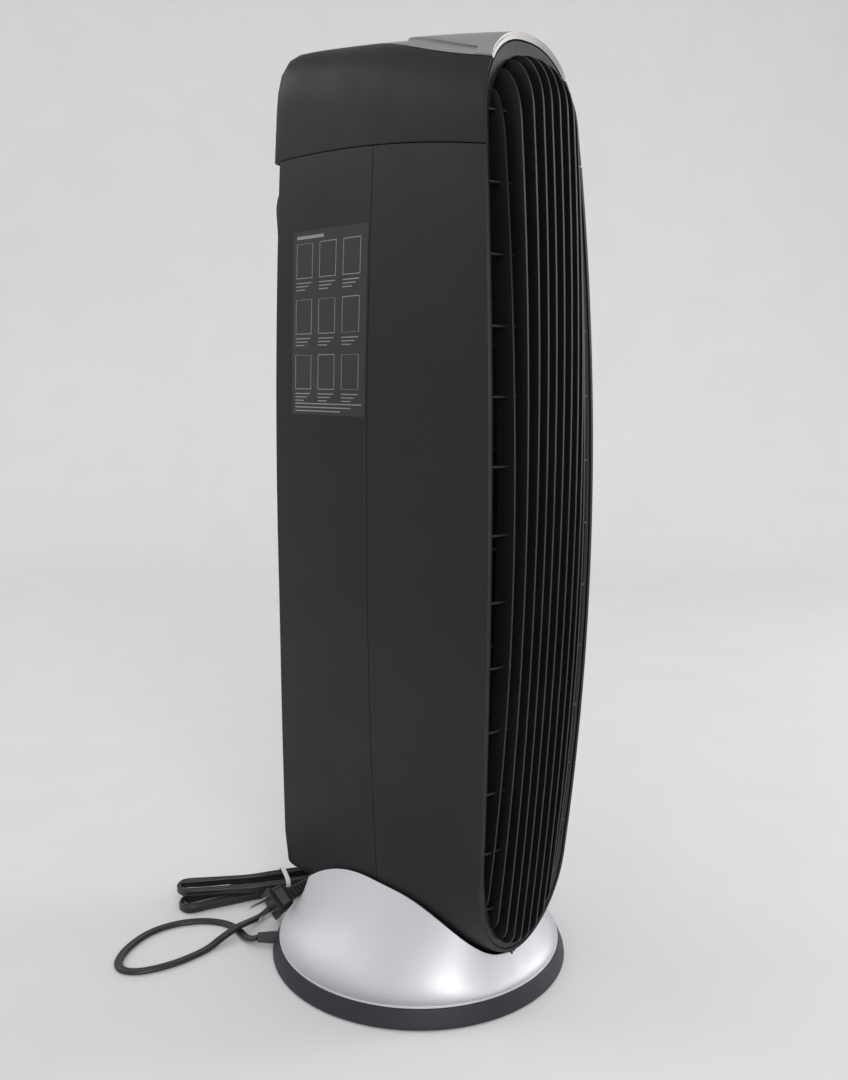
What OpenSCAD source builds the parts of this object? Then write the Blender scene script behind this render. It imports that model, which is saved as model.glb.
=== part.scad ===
// Tower air purifier: a narrow, deep tower with a louvre grille front and back, on a round flared foot.
// Frame: X across, -Y is the air outlet (front), +Y is the filter door (rear), Z up, floor at z = 0,
// origin on the axis of the round foot. Millimetres.

/* [Tower] */
// Half width of the tower at its widest height
half_w = 57.5; // [54:0.5:60]
// Height of the widest place
belly_z = 380; // [340:5:420]
// Radius of the gently barrelled sides
side_r = 4400; // [3000:100:8000]
// Lowest point of the tower
tower_bottom = 35; // [33:1:38]
// Height of the tower at its front rim
front_top = 691; // [687:1:694]
// Lowest point of the front rim
toe_z = 38.8; // [38:0.2:40]
// Highest point of the cap at the back
rear_top = 718; // [714:1:722]
// Wall thickness of the shells
wall = 2.5; // [2:0.1:3]

/* [Grilles] */
// Number of upright fins in each grille
fin_count = 10; // [6:2:10]
// Distance between fins
fin_pitch = 8.5; // [8:0.1:8.8]
// Thickness of a fin
fin_t = 1.5; // [1.2:0.1:2]
// Number of cross ribs
rib_count = 13; // [8:1:14]
// Distance between cross ribs
rib_pitch = 46; // [40:0.2:46]
// Width of the frame beside the front opening
frame_w = 3.2; // [3:0.1:5]

/* [Foot] */
// Outer radius of the black foot ring at the floor
foot_r = 120; // [118:1:122]
// Height of the black foot ring
ring_h = 14.7; // [13:0.1:16]
// Highest point of the pedestal wings at the sides of the tower
wing_z = 74.5; // [72:0.5:76]

/* [Fan] */
// Outer radius of the crossflow rotor
rotor_r = 36; // [32:1:37]
// Number of rotor blades
blade_count = 20; // [12:1:24]
// Number of rotor segments
rotor_segments = 6; // [4:1:8]
// Radius of the steel shafts
shaft_r = 3; // [2.5:0.5:4]

/* [Controls] */
// Radius of the push buttons
button_r = 5.5; // [5:0.5:6]
// Distance between push buttons
button_pitch = 18; // [17:1:19]

/* [Cord] */
// Width of the flat two-core cord
cord_w = 7; // [6.5:0.1:8]
// Thickness of the flat two-core cord
cord_t = 3.5; // [3.2:0.1:4]

/* [Hidden] */

gap = 0.4;                  // visible gap between neighbouring mouldings
seam_y = 0;                 // plane where the two shell halves meet
front_end_h = 61;           // height of the front outline's rounded bottom and of its rounded top
bottom_zc = toe_z + front_end_h;
top_zc = front_top - front_end_h;
crown_n = 2.4;              // squareness of the front outline's top
rear_n = 4.3;               // squareness of the rear outline's top
heel_h = 18;                // height of the rear outline's rounded bottom corners
keel_tilt = 20;             // the front's narrow bottom fades out towards the back at this angle
crown_tilt = 13;            // the front's round top fades out towards the back at this angle
rim_belly = -121;           // front rim at its most forward height
rim_belly_z = 340;
rim_r = 2700;               // radius of the bowed front rim
rear_y = 110.5;             // rear edge of the shells
cap_rear_y = 122;           // rear face of the cap, which overhangs the door
shoulder = [108, 685];      // centre of the cap's rounded rear shoulder in side view
arc_n = 12;                 // points on a quarter of an end curve

// ---------- outline functions ----------
function end_curve(u, n) = pow(max(0, 1 - pow(min(1, max(0, u)), n)), 1 / n);
function barrel(z, t) = half_w - t - pow(z - belly_z, 2) / (2 * side_r);
// Half width of an outline with rounded ends, inset by t
function outline_w(z, t, zlo, hlo, nlo, zhi, hhi, nhi) = barrel(z, t)
    * end_curve((zlo + hlo - z) / (hlo - t), nlo) * end_curve((z - zhi + hhi) / (hhi - t), nhi);
// Heights at which an outline is sampled: closer together towards its two ends
function outline_zs(t, zlo, hlo, zhi, hhi) = concat(
    [for (i = [0:arc_n - 1]) zlo + hlo - (hlo - t) * cos(90 * i / arc_n)],
    [for (i = [0:6]) zlo + hlo + (zhi - hhi - zlo - hlo) * i / 6],
    [for (i = [1:arc_n]) zhi - hhi + (hhi - t) * sin(90 * i / arc_n)]);
function outline_pts(t, zlo, hlo, nlo, zhi, hhi, nhi) =
    let (zs = outline_zs(t, zlo, hlo, zhi, hhi),
         right = [for (z = zs) [max(0.3, outline_w(z, t, zlo, hlo, nlo, zhi, hhi, nhi)), z]],
         left = [for (i = [len(zs) - 1:-1:0]) [-right[i][0], zs[i]]])
    concat(right, left);
function front_pts(t) = outline_pts(t, toe_z, front_end_h, 2, front_top, front_end_h, crown_n);
// Only the lower or the upper end of the front outline; beyond it the outline opens wide
function mirrored(pts) = concat(pts, [for (i = [len(pts) - 1:-1:0]) [-pts[i][0], pts[i][1]]]);
function keel_pts(t) = mirrored(concat(
    [for (z = outline_zs(t, toe_z, front_end_h, front_top, front_end_h)) if (z <= bottom_zc)
        [max(0.3, front_w(z, t)), z]],
    [[90, 300], [90, 1000]]));
function crown_pts(t) = mirrored(concat(
    [[90, 200], [90, 480]],
    [for (z = outline_zs(t, toe_z, front_end_h, front_top, front_end_h)) if (z >= top_zc)
        [max(0.3, front_w(z, t)), z]]));
function rear_pts(t) = outline_pts(t, tower_bottom, heel_h, 2.4, rear_top, 60, rear_n);
function front_w(z, t) = outline_w(z, t, toe_z, front_end_h, 2, front_top, front_end_h, crown_n);
function rear_w(z, t) = outline_w(z, t, tower_bottom, heel_h, 2.4, rear_top, 60, rear_n);
// Half width of the tower's lower part at depth y and height z
function tower_w(y, z) = let (sunk = z + (y - rim_y(toe_z)) * tan(keel_tilt))
    min(rear_w(z, 0), sunk > bottom_zc ? half_w : front_w(sunk, 0));

function rim_y(z) = rim_belly + pow(z - rim_belly_z, 2) / (2 * rim_r);
heel_c = [106, 50];         // centre of the rounded heel in side view
function rear_edge(z) = rear_y + 8 * pow(max(0, 300 - z) / 210, 1.5);
function seam_z(y) = 632 - pow(y - 85, 2) / 2048;
function crest_z(y) = front_top + 0.171 * (y + 99) - 0.0002 * pow(y + 99, 2);

// ---------- placing helpers ----------
// A polygon in X and Z, extruded from y0 to y1
module along_y(y0, y1) translate([0, y1, 0]) rotate([90, 0, 0]) linear_extrude(y1 - y0) children();
// A polygon in Y and Z, extruded from x0 to x1
module along_x(x0, x1) translate([x0, 0, 0]) rotate([90, 0, 90]) linear_extrude(x1 - x0) children();
module turn_about(p, a) translate(p) rotate(a) translate(-p) children();

// The straight prism of the wide rear outline
module wide_prism(t) along_y(-160, 160) polygon(rear_pts(t));
// The front outline's narrow bottom, sinking towards the back
module keel_prism(t) turn_about([0, rim_y(toe_z), toe_z], [-keel_tilt, 0, 0])
    along_y(-600, 330) polygon(keel_pts(t));
// The front outline's round top, rising towards the back
module crown_prism(t) turn_about([0, rim_belly + 22, front_top], [crown_tilt, 0, 0])
    along_y(-200, 420) polygon(crown_pts(t));

// Side view of the two shells: bowed front rim, level bottom, rounded heel, rear edge, cap seam
function shell_side(t, over) = concat(
    [for (i = [0:14]) let (z = seam_z(-107) + over - (seam_z(-107) + over - tower_bottom - t) * i / 14)
        [rim_y(z) - over, z]],
    [for (i = [0:8]) let (a = 90 * i / 8)
        [heel_c[0] + (rear_edge(heel_c[1]) - heel_c[0] - t) * sin(a),
            heel_c[1] - (heel_c[1] - tower_bottom - t) * cos(a)]],
    [for (i = [1:6]) let (z = heel_c[1] + (seam_z(rear_y) + over - heel_c[1]) * i / 6)
        [rear_edge(z) - t + over, z]],
    [for (i = [1:11]) let (y = rear_y - (rear_y + 107) * i / 12) [y, seam_z(y) + over]]);
module shell_form(t, over = 0) intersection() {
    wide_prism(t);
    keel_prism(t);
    along_x(-80, 80) polygon(shell_side(t, over));
}

// Side view of the cap: crest, rounded rear shoulder, rear face, seam
function cap_side(t, over) = concat(
    [for (i = [0:9]) let (y = rim_y(front_top) - over + (shoulder[0] - rim_y(front_top) + over) * i / 9)
        [y, crest_z(y) - t]],
    [for (i = [1:9]) let (a = 90 * i / 9)
        [shoulder[0] + (cap_rear_y - shoulder[0] - t) * pow(sin(a), 0.8),
            shoulder[1] + (crest_z(shoulder[0]) - shoulder[1] - t) * pow(cos(a), 0.8)]],
    [[cap_rear_y - t, seam_z(cap_rear_y) + gap - over]],
    [for (i = [1:12]) let (y = cap_rear_y - t - (cap_rear_y - t + 107) * i / 12) [y, seam_z(y) + gap - over]],
    [for (i = [1:5]) let (z = seam_z(-107) + (front_top - seam_z(-107)) * i / 6) [rim_y(z) - over, z]]);
module cap_form(t, over = 0) intersection() {
    wide_prism(t);
    crown_prism(t);
    along_x(-80, 80) polygon(cap_side(t, over));
    linear_extrude(800) cap_plan(t);
}
// Plan of the cap with its two rounded rear corners
module cap_plan(t) {
    r = 6;
    w = barrel(650, t);
    difference() {
        translate([-80, -140]) square([160, 140 + cap_rear_y]);
        for (s = [-1, 1]) difference() {
            translate([s * (w - r + 20) - 20, cap_rear_y - t - r]) square([40, 40]);
            translate([s * (w - r), cap_rear_y - t - r]) circle(r, $fn = 48);
        }
    }
}

// ---------- foot ----------
module base_ring() color([0.13, 0.13, 0.14]) difference() {
    rotate_extrude($fn = 120) polygon([[foot_r - 10, 0.8], [foot_r - 1, 0.8], [foot_r, 1.8], [foot_r - 0.6, 5],
        [foot_r - 4.6, ring_h - 0.5], [foot_r - 5.4, ring_h], [foot_r - 9, ring_h], [foot_r - 10, ring_h - 2]]);
    gland_bore();
}
module gland_bore() rotate([0, 0, gland_angle]) translate([foot_r - 30, 0, gland_z]) rotate([0, 90, 0])
    cylinder(h = 50, r = gland_r + 0.1, $fn = 48);

// One foot in the middle and four round it
foot_spots = concat([[0, 0]], [for (a = [0:90:270]) [92 * cos(a), 92 * sin(a)]]);
screw_spots = [[14, -40], [-14, -40], [22, 45], [-22, 45]];
boss_top = 62;

module base_plate() color([0.1, 0.1, 0.11]) difference() {
    union() {
        translate([0, 0, 2.5]) cylinder(h = 3, r = foot_r - 10.4, $fn = 120);
        translate([0, 0, 5.5]) difference() {
            cylinder(h = 5, r = foot_r - 10.4, $fn = 120);
            translate([0, 0, -1]) cylinder(h = 7, r = foot_r - 13, $fn = 120);
        }
    }
    for (p = foot_spots) translate([p[0], p[1], 1.5]) cylinder(h = 2.5, r = 9.2, $fn = 48);
    for (p = screw_spots) translate([p[0], p[1], 0]) cylinder(h = 12, r = 2.2, $fn = 32);
    rotate([0, 0, gland_angle]) translate([foot_r - 24, -7, 1]) cube([20, 14, 14]);
}
module base_feet() color([0.2, 0.2, 0.2]) for (p = foot_spots) translate([p[0], p[1], 0]) rotate_extrude($fn = 48)
    polygon([[0, 0], [7.6, 0], [8.6, 1], [9, 3.9], [0, 3.9]]);
module base_screws() color([0.6, 0.6, 0.62]) for (p = screw_spots) translate([p[0], p[1], 0]) difference() {
    union() {
        translate([0, 0, 0.9]) cylinder(h = 1.6, r = 4, $fn = 32);
        translate([0, 0, 2.5]) cylinder(h = 49, r = 1.9, $fn = 32);
    }
    for (a = [0, 90]) rotate([0, 0, a]) translate([-2.4, -0.4, 0]) cube([4.8, 0.8, 1.7]);
}

// Upper rim of the pedestal: it wraps the tower with a small gap, high at the sides, low at both ends
rim_front = -98;
rim_back = 97;
rim_low = tower_bottom - 1.5;
function wing_edge(y) = y < -20
    ? rim_low + (wing_z - rim_low) * pow(1 - pow((-20 - y) / (-20 - rim_front), 2.5), 0.8)
    : wing_z - (wing_z - rim_low) * pow(max(0, y - 4) / (rim_back - 4), 2.17);
rim_steps = 52;
wall_steps = 9;
rim_gap = 0.8;              // gap between the tower and the pedestal's upper edge
heel_gap = 1.8;             // the same gap measured downwards under the heel
lip = 1.8;                  // upright edge of the pedestal where it meets the ring
// Point on the rim at angle a, measured from the front (-Y) round to +X, standing off the tower by extra
function rim_pt(a, extra) =
    let (mid = (rim_front + rim_back) / 2,
         half = (rim_back - rim_front) / 2,
         y = mid - half * cos(a),
         z = wing_edge(y),
         w = tower_w(y, z + heel_gap * pow(max(0, y) / rim_back, 2)))
    [sin(a) * min(1 / max(0.001, abs(sin(a))), 5) * (w + extra), mid - (half + extra) * cos(a), z];
// Point on the flared skin, u from 0 at the foot to 1 at the rim, t inside the outer face
function flare_pt(a, u, t) =
    let (r = foot_r - 5.6 - t,
         p = rim_pt(a, rim_gap + wall - t),
         z0 = ring_h + 0.1 + lip * (1 - t / wall),
         drop = 0.7 * t * (1 - pow(u, 4)) * min(1, 4 * u))
    [r * sin(a) * (1 - u) + p[0] * u, -r * cos(a) * (1 - u) + p[1] * u,
        max(ring_h + 0.1, z0 + (p[2] - z0) * pow(u, 1.9) - drop)];
module pedestal() color([0.75, 0.76, 0.78]) {
    skin = concat([for (j = [0:wall_steps]) [j / wall_steps, 0]],
        [for (j = [wall_steps:-1:0]) [j / wall_steps, wall]]);
    n = len(skin) + 1;
    rings = [for (i = [0:rim_steps - 1]) let (a = 360 * (i + 0.5) / rim_steps)
        concat([for (q = skin) flare_pt(a, q[0], q[1])],
            [[(foot_r - 5.6) * sin(a), -(foot_r - 5.6) * cos(a), ring_h + 0.1]])];
    pts = [for (r = rings) for (p = r) p];
    quads = [for (i = [0:rim_steps - 1]) for (j = [0:n - 1])
        let (a = i * n + j, b = i * n + (j + 1) % n,
             c = ((i + 1) % rim_steps) * n + (j + 1) % n, d = ((i + 1) % rim_steps) * n + j)
        for (f = [[a, b, c], [a, c, d]]) f];
    polyhedron(pts, quads, convexity = 6);
}
// Inner support that carries the tower on the base plate
module saddle() color([0.12, 0.12, 0.12]) difference() {
    translate([-32, -62, 5.5]) cube([64, 122, 44]);
    translate([-28.5, -58.5, 5.4]) cube([57, 115, 46]);
    shell_form(-0.1);
    rotate([0, 0, gland_angle]) translate([0, -5, 5]) cube([80, 10, 12]);
}

// ---------- tower shells ----------
module screw_bosses(y_sign) for (p = screw_spots) if (p[1] * y_sign > 0)
    intersection() {
        translate([p[0], p[1], 30]) cylinder(h = boss_top - 30, r = 4.5, $fn = 32);
        shell_form(0.5);
    }
module screw_bores(y_sign) for (p = screw_spots) if (p[1] * y_sign > 0)
    translate([p[0], p[1], 20]) cylinder(h = 50, r = 2, $fn = 32);
module front_shell() color([0.17, 0.17, 0.18]) difference() {
    union() {
        difference() {
            intersection() {
                shell_form(0);
                translate([-80, -150, 0]) cube([160, 150 + seam_y - 0.25, 700]);
            }
            shell_form(wall, 12);
        }
        screw_bosses(-1);
    }
    screw_bores(-1);
    grille_seat();
}
// Space for the front grille, so the rim of the shell, cap and bezel wraps round it
module grille_seat() along_y(-150, -86) polygon(front_pts(wall));
module rear_shell() color([0.17, 0.17, 0.18]) difference() {
    union() {
        difference() {
            intersection() {
                shell_form(0);
                translate([-80, seam_y + 0.25, 0]) cube([160, 150, 700]);
            }
            shell_form(wall, 6);
            door_opening();
        }
        screw_bosses(1);
        for (s = [-1, 1]) translate([s * 43.4 - 2.9, door_axis[1] - 8, door_axis[2] - 6]) cube([5.8, 12, 12]);
    }
    screw_bores(1);
    translate([-pin_end - 0.2, door_axis[1], door_axis[2]]) rotate([0, 90, 0])
        cylinder(h = 2 * pin_end + 0.4, r = door_pin_r + 0.05, $fn = 48);
}
// The rear of the shell is open for the door
door_low = 76;
door_axis = [0, 112, 84];
door_pin_r = 2;
pin_end = 45.2;             // outer end of each hinge pin
module door_opening() intersection() {
    wide_prism(wall);
    translate([-80, 96, door_low]) cube([160, 60, 700]);
}

// ---------- grilles ----------
grille_inset = 3;
grille_sunk = 0.7;          // the frame's face stands this far behind the rim
ribs_z0 = 85.5;
fin_back = 9;               // the fins' straight back edge, behind the frame's face
function fin_x(i) = (i - (fin_count - 1) / 2) * fin_pitch;
// Front line of the middle fins, and of the outermost ones, which stand less proud of the rim
function fin_line(z) = -133.9 + pow(z - 400, 2) / 5770;
function outer_line(z) = rim_y(z) - 6.6 * (1 - pow(max(0, 380 - z) / 290, 2));
function fin_front(x, z) = let (out = pow(abs(x) / fin_x(fin_count - 1), 3.5))
    fin_line(z) * (1 - out) + outer_line(z) * out;
// The front opening: lowest and highest point, and heights of its rounded ends
opening_inset = grille_inset + frame_w;
open_z = [47, 677.5];
open_h = [75, 55];
open_n = 2.2;
function opening_pts() = outline_pts(opening_inset, open_z[0] - opening_inset, open_h[0] + opening_inset, 2,
    open_z[1] + opening_inset, open_h[1] + opening_inset, open_n);
function opening_w(z) = outline_w(z, opening_inset, open_z[0] - opening_inset, open_h[0] + opening_inset, 2,
    open_z[1] + opening_inset, open_h[1] + opening_inset, open_n);
// Height where the opening is as wide as x, at the top and at the bottom
function open_top(x) = open_z[1] - open_h[1] * (1 - end_curve(abs(x) / barrel(655, opening_inset), open_n));
function open_low(x) = open_z[0] + open_h[0] * (1 - end_curve(abs(x) / barrel(100, opening_inset), 2));
// Edge of a fin: it rises out of the frame in a quarter ellipse at each end, e = [top height, low height]
function fin_edge(z, zt, zb, root, line, e) =
    let (up = end_curve((z - zt + e[0]) / e[0], 2), down = end_curve((zb + e[1] - z) / e[1], 2))
    root + (line - root) * min(up, down);
function fin_zs(zt, zb, e) = concat(
    [for (i = [0:6]) zt - e[0] + e[0] * cos(90 * i / 6)],
    [for (i = [1:7]) zt - e[0] - (zt - zb - e[0] - e[1]) * i / 7],
    [for (i = [1:6]) zb + e[1] - e[1] * sin(90 * i / 6)]);
front_ends = [34, 10];
rear_ends = [24, 30];
module front_fin(x) {
    zt = open_top(x) + 1;
    zb = open_low(x) - 1;
    zs = fin_zs(zt, zb, front_ends);
    edge = [for (z = zs) [fin_edge(z, zt, zb, rim_y(z) + 1.5, fin_front(x, z), front_ends), z]];
    back = [for (i = [len(zs) - 1:-2:0]) [rim_y(zs[i]) + fin_back, zs[i]]];
    along_x(x - fin_t / 2, x + fin_t / 2) polygon(concat(edge, back));
}
// A thin rib bowed across the opening, behind the fins' front edges
module cross_rib(z, w, y_side, y_mid) {
    steps = 8;
    bow = [for (i = [0:steps]) let (u = -1 + 2 * i / steps) [u * w, y_mid + (y_side - y_mid) * u * u]];
    translate([0, 0, z - 0.8]) linear_extrude(1.6)
        polygon(concat(bow, [for (i = [steps:-1:0]) [bow[i][0], bow[i][1] + 2.2]]));
}
// A slab that follows the bowed rim, from y0 to y1 behind it
module rim_slab(y0, y1) {
    zs = [for (i = [0:14]) tower_bottom + (front_top + 4 - tower_bottom) * i / 14];
    along_x(-80, 80) polygon(concat([for (z = zs) [rim_y(z) + y0, z]],
        [for (i = [len(zs) - 1:-1:0]) [rim_y(zs[i]) + y1, zs[i]]]));
}
module front_grille() color([0.11, 0.11, 0.12]) {
    difference() {
        intersection() {
            along_y(-125, -90) polygon(front_pts(grille_inset));
            rim_slab(grille_sunk, 9);
        }
        along_y(-130, -80) polygon(opening_pts());
    }
    for (i = [0:fin_count - 1]) front_fin(fin_x(i));
    for (k = [0:rib_count - 1]) let (z = ribs_z0 + k * rib_pitch, side = rim_y(z) + 1)
        cross_rib(z, opening_w(z) + 1, side, side + (fin_line(z) - rim_y(z)) * 0.35);
}

// Rear door: same fins and ribs, standing proud most at the top
door_inset = 3;
door_top = 627.5;
function door_pts(t) = outline_pts(t, door_low + 1, 30, 2.4, door_top, 14, 2.4);
function door_w(z, t) = outline_w(z, t, door_low + 1, 30, 2.4, door_top, 14, 2.4);
function door_line(z) = 120 + 15 * pow(max(0, z - 400) / 210, 1.3);
door_open = door_inset + 6.5;
door_sag = 6.5;             // how far the door's outer fins would stand back at the tower's sides
module rear_fin(x) {
    zt = door_top - door_open + 1;
    zb = door_low + door_open + 14 * pow(abs(x) / 48, 4);
    zs = fin_zs(zt, zb, rear_ends);
    sag = door_sag * pow(x / 48, 2);
    edge = [for (z = zs) [-fin_edge(z, zt, zb, -door_face(z) + 1.5, sag - door_line(z), rear_ends), z]];
    back = [for (i = [len(zs) - 1:-2:0]) [door_face(zs[i]) - 8, zs[i]]];
    along_x(x - fin_t / 2, x + fin_t / 2) polygon(concat(edge, back));
}
function door_face(z) = rear_edge(z) + 0.5;
module door_slab(depth) {
    zs = [for (i = [0:10]) door_low - 2 + (door_top - door_low + 4) * i / 10];
    along_x(-80, 80) polygon(concat([for (z = zs) [door_face(z), z]],
        [for (i = [10:-1:0]) [door_face(zs[i]) - depth, zs[i]]]));
}
module rear_door() color([0.11, 0.11, 0.12]) difference() {
    union() {
        difference() {
            intersection() {
                along_y(90, 125) polygon(door_pts(door_inset));
                door_slab(8);
            }
            along_y(85, 130) polygon(door_pts(door_open));
        }
        for (i = [0:fin_count - 1]) rear_fin(fin_x(i));
        for (k = [0:rib_count - 2]) let (z = ribs_z0 + (k + 0.4) * rib_pitch, w = door_w(z, door_open) + 1)
            cross_rib(z, w, door_face(z) - 5, door_face(z) - 5 + (door_line(z) - door_face(z)) * 0.75);
        for (s = [-1, 1]) translate([s * 37.5 - 2.5, door_axis[1] - 4, door_axis[2] - 4]) cube([5, 8, 14]);
    }
    translate([-pin_end, door_axis[1], door_axis[2]]) rotate([0, 90, 0])
        cylinder(h = 2 * pin_end, r = door_pin_r, $fn = 48);
}
module door_pins() color([0.6, 0.6, 0.62]) for (s = [-1, 1])
    translate([s * (pin_end + 35) / 2 - (pin_end - 35) / 2, door_axis[1], door_axis[2]]) rotate([0, 90, 0])
        cylinder(h = pin_end - 35, r = door_pin_r, $fn = 48);

// ---------- filters ----------
filter_w = 45;
filter_z = [112, 604];
module frame_box(w, y0, y1, z0, z1, rail) difference() {
    translate([-w, y0, z0]) cube([2 * w, y1 - y0, z1 - z0]);
    translate([-w + rail, y0 - 1, z0 + rail]) cube([2 * (w - rail), y1 - y0 + 2, z1 - z0 - 2 * rail]);
}
module prefilter() color([0.15, 0.15, 0.16]) translate([-filter_w, 88.4, filter_z[0]])
    cube([2 * filter_w, 4, filter_z[1] - filter_z[0]]);
module filter_frame() color([0.85, 0.85, 0.83]) frame_box(filter_w, 56, 88, filter_z[0], filter_z[1], 3);
pleats = 22;
module filter_media() color([0.93, 0.93, 0.9]) {
    w = filter_w - 3.2;
    step = 2 * w / pleats;
    front = [for (i = [0:pleats]) [-w + i * step, i % 2 == 0 ? 60 : 82]];
    back = [for (i = [pleats:-1:0]) [-w + i * step, (i % 2 == 0 ? 60 : 82) + 3.5]];
    translate([0, 0, filter_z[0] + 3.2]) linear_extrude(filter_z[1] - filter_z[0] - 6.4)
        polygon(concat(front, back));
}
module filter_seal() color([0.3, 0.3, 0.3]) frame_box(filter_w, 53, 55.9, filter_z[0], filter_z[1], 6);
// Wall between the filter and the fan, with a shelf that the filter stands on
module filter_bulkhead() color([0.16, 0.16, 0.17]) difference() {
    intersection() {
        union() {
            translate([-80, 50, 60]) cube([160, 2.9, 560]);
            translate([-80, 50, filter_z[0] - 3.6]) cube([160, 43, 3.5]);
        }
        wide_prism(wall + gap);
    }
    translate([-36, 40, 124]) cube([72, 20, 466]);
}

// ---------- fan ----------
fan_x = 3;
fan_y = -42;
fan_z = [122, 562];
plate_y = [-84, 44];
plate_hw = 47;
module fan_plate(z) intersection() {
    translate([-plate_hw, plate_y[0], z]) cube([2 * plate_hw, plate_y[1] - plate_y[0], 3]);
    keel_prism(wall + gap);
    wide_prism(wall + gap);
}
// Lower plate of the fan chamber; the motor hangs from its two posts
module fan_floor() color([0.2, 0.2, 0.21]) difference() {
    union() {
        fan_plate(fan_z[0] - 8);
        for (s = [-1, 1]) translate([fan_x + s * 33, fan_y, post_z]) cylinder(h = fan_z[0] - 8 - post_z, r = 4, $fn = 48);
    }
    translate([fan_x, fan_y, 0]) cylinder(h = 300, r = 14, $fn = 48);
    for (s = [-1, 1]) translate([fan_x + s * 33, fan_y, 90]) cylinder(h = 20, r = 1.55, $fn = 32);
}
motor_z = 72;
post_z = motor_z + 24.2;
module fan_ceiling() color([0.2, 0.2, 0.21]) difference() {
    fan_plate(fan_z[1] + 5);
    translate([fan_x, fan_y, 300]) cylinder(h = 400, r = 12, $fn = 48);
}
// Curved back wall of the fan chamber, from the inlet round to the outlet
scroll_z = [fan_z[0] - 4.9, fan_z[1] + 4.9];
module tall(z = scroll_z) translate([0, 0, z[0]]) linear_extrude(z[1] - z[0]) children();
module air_scroll() color([0.2, 0.2, 0.21]) tall() {
    translate([fan_x, fan_y]) intersection() {
        difference() {
            circle(rotor_r + 6, $fn = 96);
            circle(rotor_r + 4, $fn = 96);
        }
        translate([0, -60]) square([60, 100]);
    }
    translate([fan_x + rotor_r + 4, plate_y[0] + 1]) square([2, fan_y - plate_y[0]]);
    translate([fan_x - 0.5, fan_y + rotor_r + 4]) square([2, 46 - fan_y - rotor_r - 6]);
}
module air_cutoff() color([0.2, 0.2, 0.21]) tall() {
    translate([-plate_hw + 1, plate_y[0] + 1]) square([2, 54]);
    translate([-plate_hw + 1, -33]) square([9, 2]);
    translate([-plate_hw + 10, -32]) circle(1.6, $fn = 32);
}
module fan_rotor() color([0.25, 0.26, 0.28]) translate([fan_x, fan_y, fan_z[0]]) {
    height = fan_z[1] - fan_z[0];
    for (k = [0:rotor_segments]) translate([0, 0, (height - 1.5) * k / rotor_segments]) difference() {
        cylinder(h = 1.5, r = rotor_r, $fn = 96);
        translate([0, 0, -1]) cylinder(h = 4, r = k == 0 ? 9 : k == rotor_segments ? shaft_r : rotor_r - 9, $fn = 48);
    }
    for (a = [0:360 / blade_count:359]) rotate([0, 0, a]) translate([rotor_r - 9.5, 0, 0]) rotate([0, 0, 32])
        linear_extrude(height) blade_section();
}
// Section of one forward-curved blade
module blade_section() intersection() {
    translate([1, -6.5]) difference() {
        circle(7.6, $fn = 64);
        circle(6.7, $fn = 64);
    }
    translate([1, 0]) square([7, 12], center = true);
}
module rotor_hub() color([0.3, 0.3, 0.32]) translate([fan_x, fan_y, fan_z[0] - 3]) difference() {
    union() {
        cylinder(h = 12, r = 8.9, $fn = 48);
        translate([0, 0, 4.6]) cylinder(h = 1.4, r = 13, $fn = 48);
    }
    translate([0, 0, -1]) cylinder(h = 14, r = shaft_r, $fn = 48);
}
module motor_shaft() color([0.7, 0.7, 0.72]) translate([fan_x, fan_y, 74]) cylinder(h = 54, r = shaft_r, $fn = 48);
module rotor_stub() color([0.7, 0.7, 0.72]) translate([fan_x, fan_y, fan_z[1] - 8]) {
    cylinder(h = 28, r = shaft_r, $fn = 48);
    cylinder(h = 6, r = 6, $fn = 48);
}
module motor_case() color([0.65, 0.66, 0.68]) translate([fan_x, fan_y, motor_z]) difference() {
    union() {
        cylinder(h = 26, r = 29, $fn = 96);
        translate([0, 0, 26]) cylinder(h = 6, r = 11, $fn = 64);
        for (s = [-1, 1]) translate([s * 31 - 4, -6, 20]) cube([8, 12, 2.5]);
    }
    translate([0, 0, 1]) cylinder(h = 60, r = shaft_r + 0.05, $fn = 48);
    for (s = [-1, 1]) translate([s * 33, 0, 10]) cylinder(h = 20, r = 1.6, $fn = 32);
}
module motor_bracket() color([0.75, 0.75, 0.76]) difference() {
    translate([fan_x - 38, fan_y - 33, motor_z + 22.6]) cube([76, 66, 1.5]);
    translate([fan_x, fan_y, 60]) cylinder(h = 60, r = 29.3, $fn = 96);
    for (s = [-1, 1]) translate([fan_x + s * 33, fan_y, 60]) cylinder(h = 60, r = 1.6, $fn = 32);
}
module motor_screws() color([0.6, 0.6, 0.62]) for (s = [-1, 1]) translate([fan_x + s * 33, fan_y, motor_z + 17.5]) {
    cylinder(h = 2.4, r = 2.8, $fn = 32);
    cylinder(h = 16, r = 1.5, $fn = 32);
}
module bearing_bush() color([0.7, 0.5, 0.3]) translate([fan_x, fan_y, fan_z[1] + 5.5]) difference() {
    cylinder(h = 9, r = 6, $fn = 48);
    translate([0, 0, -1]) cylinder(h = 12, r = shaft_r + 0.05, $fn = 48);
}
module bearing_holder() color([0.1, 0.1, 0.1]) translate([fan_x, fan_y, fan_z[1] + 5]) difference() {
    union() {
        translate([0, 0, 3.1]) cylinder(h = 3, r = 17, $fn = 64);
        cylinder(h = 6, r = 11.8, $fn = 64);
    }
    translate([0, 0, -1]) cylinder(h = 12, r = 6, $fn = 48);
}

// ---------- top and controls ----------
// Half width, widest place and length behind that of the two ovals on top
bezel_plan_size = [38.7, -80, 132];
tongue_plan_size = [36, -95, 106];
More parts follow.
